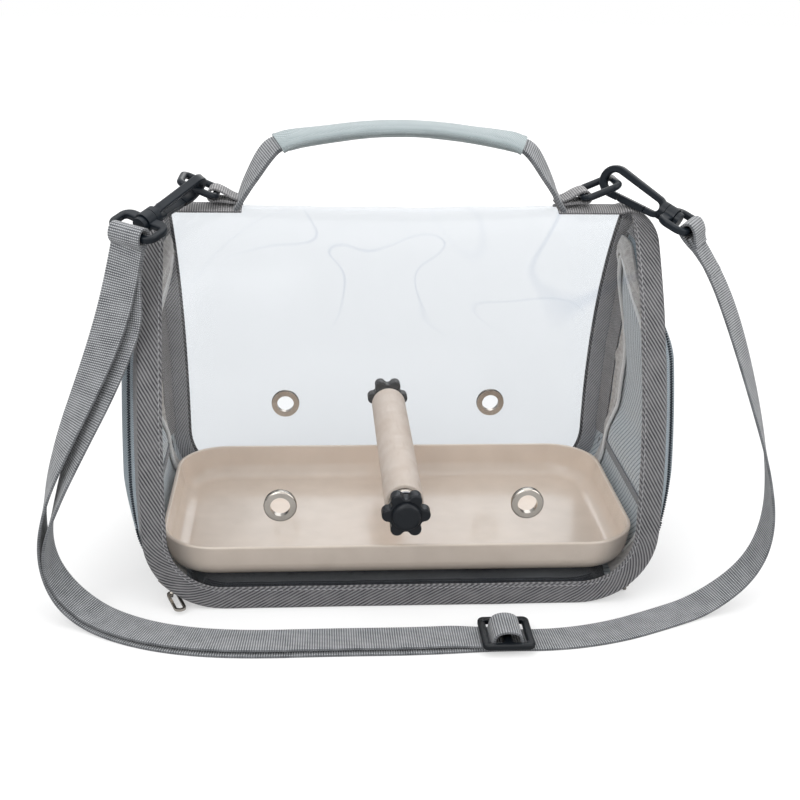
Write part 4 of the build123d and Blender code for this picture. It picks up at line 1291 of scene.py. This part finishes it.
def tab_place(across, along):
    """Place on the right tab: along the ridge and over its corner."""
    x = TAB_FROM + (TAB_TO - TAB_FROM) * along
    over = max(x - (HALF_WIDTH - TOP_CORNER), 0)
    top = BODY_HEIGHT - (TOP_CORNER - math.sqrt(TOP_CORNER**2 - over**2))
    a = (2 * across - 1) * (STRAP_WIDTH / 2) / RIDGE_RADIUS
    reach = RIDGE_RADIUS + TAB_THICK * eased(x, 118, 124)
    return x, reach * math.sin(a), top - RIDGE_RADIUS + (reach - 0.6) * math.cos(a)


for label, side in SIDES:
    def this_side(across, along):
        x, y, z = tab_place(across, along)
        return side * x, y, z

    size = (STRAP_WIDTH, TAB_TO - TAB_FROM)
    tab = cloth_piece(f"{label}_tab", (10, 20), this_side, size, TAB_THICK, edge=0.35)
    finish(tab, "bag", "strap", TAB_RIBS, f"{label}_ridge_tab")
    route = [((side * x, 0, z), SIDEWAYS) for x, z in LOOP_ROUTE]
    loop = ribbon(f"{label}_loop", *ribbon_stations(route, 0.8), LOOP_WIDTH, LOOP_THICK)
    finish(loop, "bag", "strap", TAB_RIBS, f"{label}_ring_loop")

# %% [markdown]
# ## Shoulder strap
# The strap's route runs from the right strap ring, down beside the bag, flat along the floor in
# front and up to the left ring. There it turns back and lies on itself as far as the adjuster. A
# simulated strap would come to rest elsewhere each time, so its route is given, with the way that
# its width points at each place.

# %% Route of the strap
STRAP_ROUTE = [
    ((153.9, -28.5, 195.0), (0.505, 0.86, 0.05)),
    ((164.5, -34.5, 179.0), (0.55, 0.83, 0.0)),
    ((176.3, -43.0, 151.8), (0.6, 0.8, 0.0)),
    ((187.8, -58.0, 112.1), (0.45, 0.89, 0.0)),
    ((196.5, -69.0, 76.0), (0.2, 0.98, 0.0)),
    ((198.5, -75.0, 45.0), (0.0, 1.0, 0.0)),
    ((189.0, -78.0, 20.0), (-0.1, 0.99, 0.0)),
    ((163.3, -82.5, 1.6), (-0.3, 0.95, 0.0)),
    ((137.3, -94.5, 0.7), (-0.43, 0.9, 0.0)),
    ((109.0, -107.0, 0.7), (-0.3, 0.95, 0.0)),
    ((78.0, -113.5, 0.7), (-0.08, 0.99, 0.0)),
    ((45.0, -112.5, 0.7), (0.0, 1.0, 0.0)),
    ((8.0, -115.0, 0.7), (-0.02, 1.0, 0.0)),
    ((-38.0, -114.5, 0.7), (0.0, 1.0, 0.0)),
    ((-84.0, -115.2, 0.7), (0.06, 0.99, 0.0)),
    ((-118.0, -110.3, 0.7), (0.25, 0.97, 0.0)),
    ((-145.0, -99.5, 0.7), (0.45, 0.89, 0.0)),
    ((-167.0, -85.0, 2.2), (0.42, 0.9, 0.0)),
    ((-182.0, -79.0, 15.0), (0.3, 0.95, 0.0)),
    ((-189.5, -76.0, 38.0), (0.1, 0.99, 0.0)),
    ((-186.8, -73.0, 64.4), (-0.15, 0.99, 0.0)),
    ((-175.5, -67.0, 95.0), (-0.5, 0.86, 0.0)),
    ((-162.0, -61.5, 124.0), (-0.75, 0.65, 0.0)),
    ((-150.5, -57.0, 152.0), (-0.9, 0.43, 0.0)),
    ((-143.0, -53.3, 178.0), (-0.88, 0.47, 0.1)),
    ((-139.3, -50.8, 196.8), (-0.815, 0.541, 0.207)),
]
print("route", len(STRAP_ROUTE), "places")

# %% Both layers of the strap
LAYER_GAP = 1.7  # between the middles of the two layers
SEWN_END = 49.5  # where the return layer meets the adjuster
strap_line, strap_length = ribbon_stations(STRAP_ROUTE)
second_line = []
for middle, onward, across in strap_line:
    if middle.x < SEWN_END:
        # the layers part a little on the way up, and where the strap lies flat
        loose = eased(middle.z, 22, 70) * (1 - eased(middle.z, 150, 186)) * (middle.x < -120)
        flat = (1 - eased(middle.z, 4, 30)) * eased(SEWN_END - middle.x, 4, 30)
        lift = across.cross(onward) * (LAYER_GAP + 3.6 * loose + 1.1 * flat)
        second_line.append([middle + lift + across * (1.3 * flat - 5.5 * loose), onward, across])
second_length = strap_length * len(second_line) / len(strap_line)
main = ribbon("shoulder_strap", strap_line, strap_length, STRAP_WIDTH, STRAP_THICK)
finish(main, "bag", "strap", STRAP_RIBS, "strap_main")
second = ribbon("shoulder_strap_return", second_line, second_length, STRAP_WIDTH, STRAP_THICK)
finish(second, "bag", "strap", STRAP_RIBS, "strap_return")
print("strap", round(strap_length), "return", round(second_length))

# %% [markdown]
# Each end of the strap is folded round its ring's bar. On the right the tail comes back down and
# is sewn on the strap. On the left the fold joins the two layers. Over the adjuster's middle bar
# the webbing stands up as a short arch. Each is a short ribbon of its own, because so tight a
# bend needs closer stations than the long strap.

# %% Folds round the bars
RIGHT_BAR, LEFT_BAR = Vector((152.93, -27.74, 198.13)), Vector((-138.51, -50.19, 200.04))
ADJUSTER = Vector((51.0, -112.7, 0.0))
RIGHT_FOLD = [
    (1.6, 27), (1.6, 12), (3.4, 5), (3.7, -3.9), (-3.7, -3.9), (-3.6, 3), (-0.1, 7.5), (0, 10),
]
LEFT_FOLD = [
    (0, 10), (-0.2, 7), (-3.6, 4), (-3.7, -3.8), (3.8, -3.8), (4.2, 4), (-1.7, 7.5), (-1.7, 10),
]
ARCH_SHAPE = [(-7.6, 2.4), (-7.4, 5.5), (-6.0, 9.6), (0, 11.2), (6.0, 9.6), (7.4, 5.5), (7.6, 2.4)]


def fold_ways(first, second):
    """Ways down along the strap, across it and out of it, at one end of its route."""
    down = (Vector(second[0]) - Vector(first[0])).normalized()
    across = Vector(first[1]).normalized()
    across = (across - down * across.dot(down)).normalized()
    return down, across, across.cross(down)


def bar_fold(name, bar, ways, shape):
    """Ribbon round a bar: shape is a line of (out, down) steps from the bar's middle."""
    down, across, out = ways
    route = [(bar + out * o + down * d, across) for o, d in shape]
    return ribbon(name, *ribbon_stations(route, 0.9), STRAP_WIDTH, STRAP_THICK)


right_ways = fold_ways(STRAP_ROUTE[0], STRAP_ROUTE[1])
left_ways = fold_ways(STRAP_ROUTE[-1], STRAP_ROUTE[-2])
right_fold = bar_fold("right_strap_fold", RIGHT_BAR, right_ways, RIGHT_FOLD)
left_fold = bar_fold("left_strap_fold", LEFT_BAR, left_ways, LEFT_FOLD)
arch_route = [(ADJUSTER + Vector((x, 0, z)), SIDEWAYS) for x, z in ARCH_SHAPE]
arch_stations = ribbon_stations(arch_route, 0.8)
adjuster_arch = ribbon("adjuster_arch", *arch_stations, STRAP_WIDTH, STRAP_THICK)
finish(right_fold, "bag", "strap", STRAP_RIBS)
finish(left_fold, "bag", "strap", STRAP_RIBS)
finish(adjuster_arch, "bag", "strap", STRAP_RIBS, "adjuster_loop")

# %% [markdown]
# Each layer is one length of webbing: its length is real, and its far end is sewn on.

# %% Cords
print("cords", main.name, second.name)

# %% [markdown]
# ## Stitches
# A seam is a row of equal stitches that stand a little out of the webbing, so they catch the
# light. One small stitch is modelled and copied along every seam that shows: round the inner edge
# of the bound edges, and in a box on the strap's sewn tail.

# %% Stitches
EDGE_STITCH, TAIL_STITCH = ((2.4, 0.55, 0.5), 6, 4), ((2.0, 0.55, 0.5), 6, 4)
SEAM_INSET = 11.4  # from the fold of the bound edge
TAIL_BOX = (11.5, 24.5)  # down along the strap
TAIL_BOX_HALF = (8.5, 8.0)  # half lengths of its cross seams, and half its width


def seam(line, pitch=3.3):
    """Stitch places along a line of (point, outward way)."""
    places, spare = [], 0.0
    for (here, out), (there, next_out) in zip(line, line[1:]):
        step = Vector(there) - Vector(here)
        at = pitch - spare
        while at <= step.length:
            places.append(standing(Vector(here) + step * (at / step.length), step, out))
            at += pitch
        spare = step.length - (at - pitch)
    return places


for label, face in FACES:
    line = []
    for station in edge_stations():
        out = edge_out(station, face)
        if station[1] != "side" or station[2] < 0.47:
            line.append((Vector(edge_point(station, "face", SEAM_INSET, face)) + out * 0.1, out))
    row = repeated(f"{label}_edge_stitches", bead(*EDGE_STITCH), seam(line))
    finish(row, "bag", "edge_webbing", THREAD, angle=80)

down, across, out = right_ways
cross_half, box_half = TAIL_BOX_HALF
places = []
for far in TAIL_BOX:
    start = RIGHT_BAR + down * far + out * 2.4
    places += seam([(start + across * way, out) for way in (-cross_half, cross_half)], 2.6)
for way in (-box_half, box_half):
    start = RIGHT_BAR + across * way + out * 2.4
    places += seam([(start + down * far, out) for far in TAIL_BOX], 2.6)
row = repeated("strap_tail_stitches", bead(*TAIL_STITCH), places)
finish(row, "bag", "strap", THREAD, angle=80)

# %% [markdown]
# ## Stage
# A pale floor under a white surround. The floor glows a little to the camera alone, so that it
# fades into the surround. Large soft lamps stand high in front, at the sides and behind, and one
# low in front, so that the sheet mirrors them as broad soft shapes.

# %% Floor
WHITE = (1, 1, 1, 1)
bpy.ops.object.select_all(action="DESELECT")
bpy.ops.mesh.primitive_grid_add(x_subdivisions=4, y_subdivisions=4, size=8)
floor = bpy.context.object
floor.name = "floor"
floor_finish, tree, shader = finish_tree("floor_white", 0.9)
shader.inputs["Base Color"].default_value = (0.5, 0.5, 0.5, 1)
away = put(tree, "VectorMath", {0: solid_spot(tree)}, operation="LENGTH").outputs["Value"]
paper = {"Value": away, "From Min": 0.25, "From Max": 0.9, "To Min": 0.47, "To Max": 0.6}
paper = put(tree, "MapRange", paper).outputs[0]
seen = put(tree, "LightPath").outputs["Is Camera Ray"]
glow = put(tree, "Emission", {"Color": WHITE, "Strength": maths(tree, paper, seen)})
shown(tree, put(tree, "AddShader", {0: shader.outputs[0], 1: glow.outputs[0]}))
floor.data.materials.append(floor_finish)
print("stage", floor.name)

# %% Surround
world = bpy.data.worlds.new("surround")
bpy.context.scene.world = world
world.use_nodes = True
tree = world.node_tree
tree.nodes.clear()


def backdrop(strength):
    """White surround of one strength."""
    return put(tree, "Background", {"Color": WHITE, "Strength": strength}).outputs[0]


rays = put(tree, "LightPath").outputs
way = put(tree, "SeparateXYZ", {0: put(tree, "TexCoord").outputs["Generated"]}).outputs["Z"]
height = {"Value": way, "From Min": 0.02, "From Max": 0.5, "To Min": 0.3, "To Max": 1.0}
mirrored = backdrop(put(tree, "MapRange", height).outputs[0])
lit = put(tree, "MixShader", {0: rays["Is Glossy Ray"], 1: backdrop(0.75), 2: mirrored})
seen = maths(tree, rays["Is Camera Ray"], rays["Is Transmission Ray"], "MAXIMUM")
whole = put(tree, "MixShader", {0: seen, 1: lit.outputs[0], 2: backdrop(1.0)})
put(tree, "OutputWorld", {"Surface": whole.outputs[0]})
bpy.context.scene.view_settings.view_transform = "Standard"
print("surround", world.name, len(tree.nodes), "nodes")

# %% Lamps
LAMPS = (  # name, place, size and power
    ("key", (-0.75, -1.0, 1.25), 1.0, 9.0),
    ("front", (-0.15, -1.45, 0.4), 0.9, 2.6),
    ("fill", (1.05, -0.75, 0.8), 0.9, 5.0),
    ("top", (0.0, 0.1, 1.5), 1.4, 7.2),
    ("back", (0.3, 1.3, 0.9), 1.0, 5.0),
)
AIM = Vector((0, 0, 0.09))
for label, place, size, power in LAMPS:
    turn = (AIM - Vector(place)).to_track_quat("-Z", "Y").to_euler()
    bpy.ops.object.light_add(type="AREA", location=place, rotation=turn)
    lamp = bpy.context.object
    lamp.name = label
    lamp.data.size = size
    lamp.data.energy = power
print("lamps", [label for label, *_ in LAMPS])
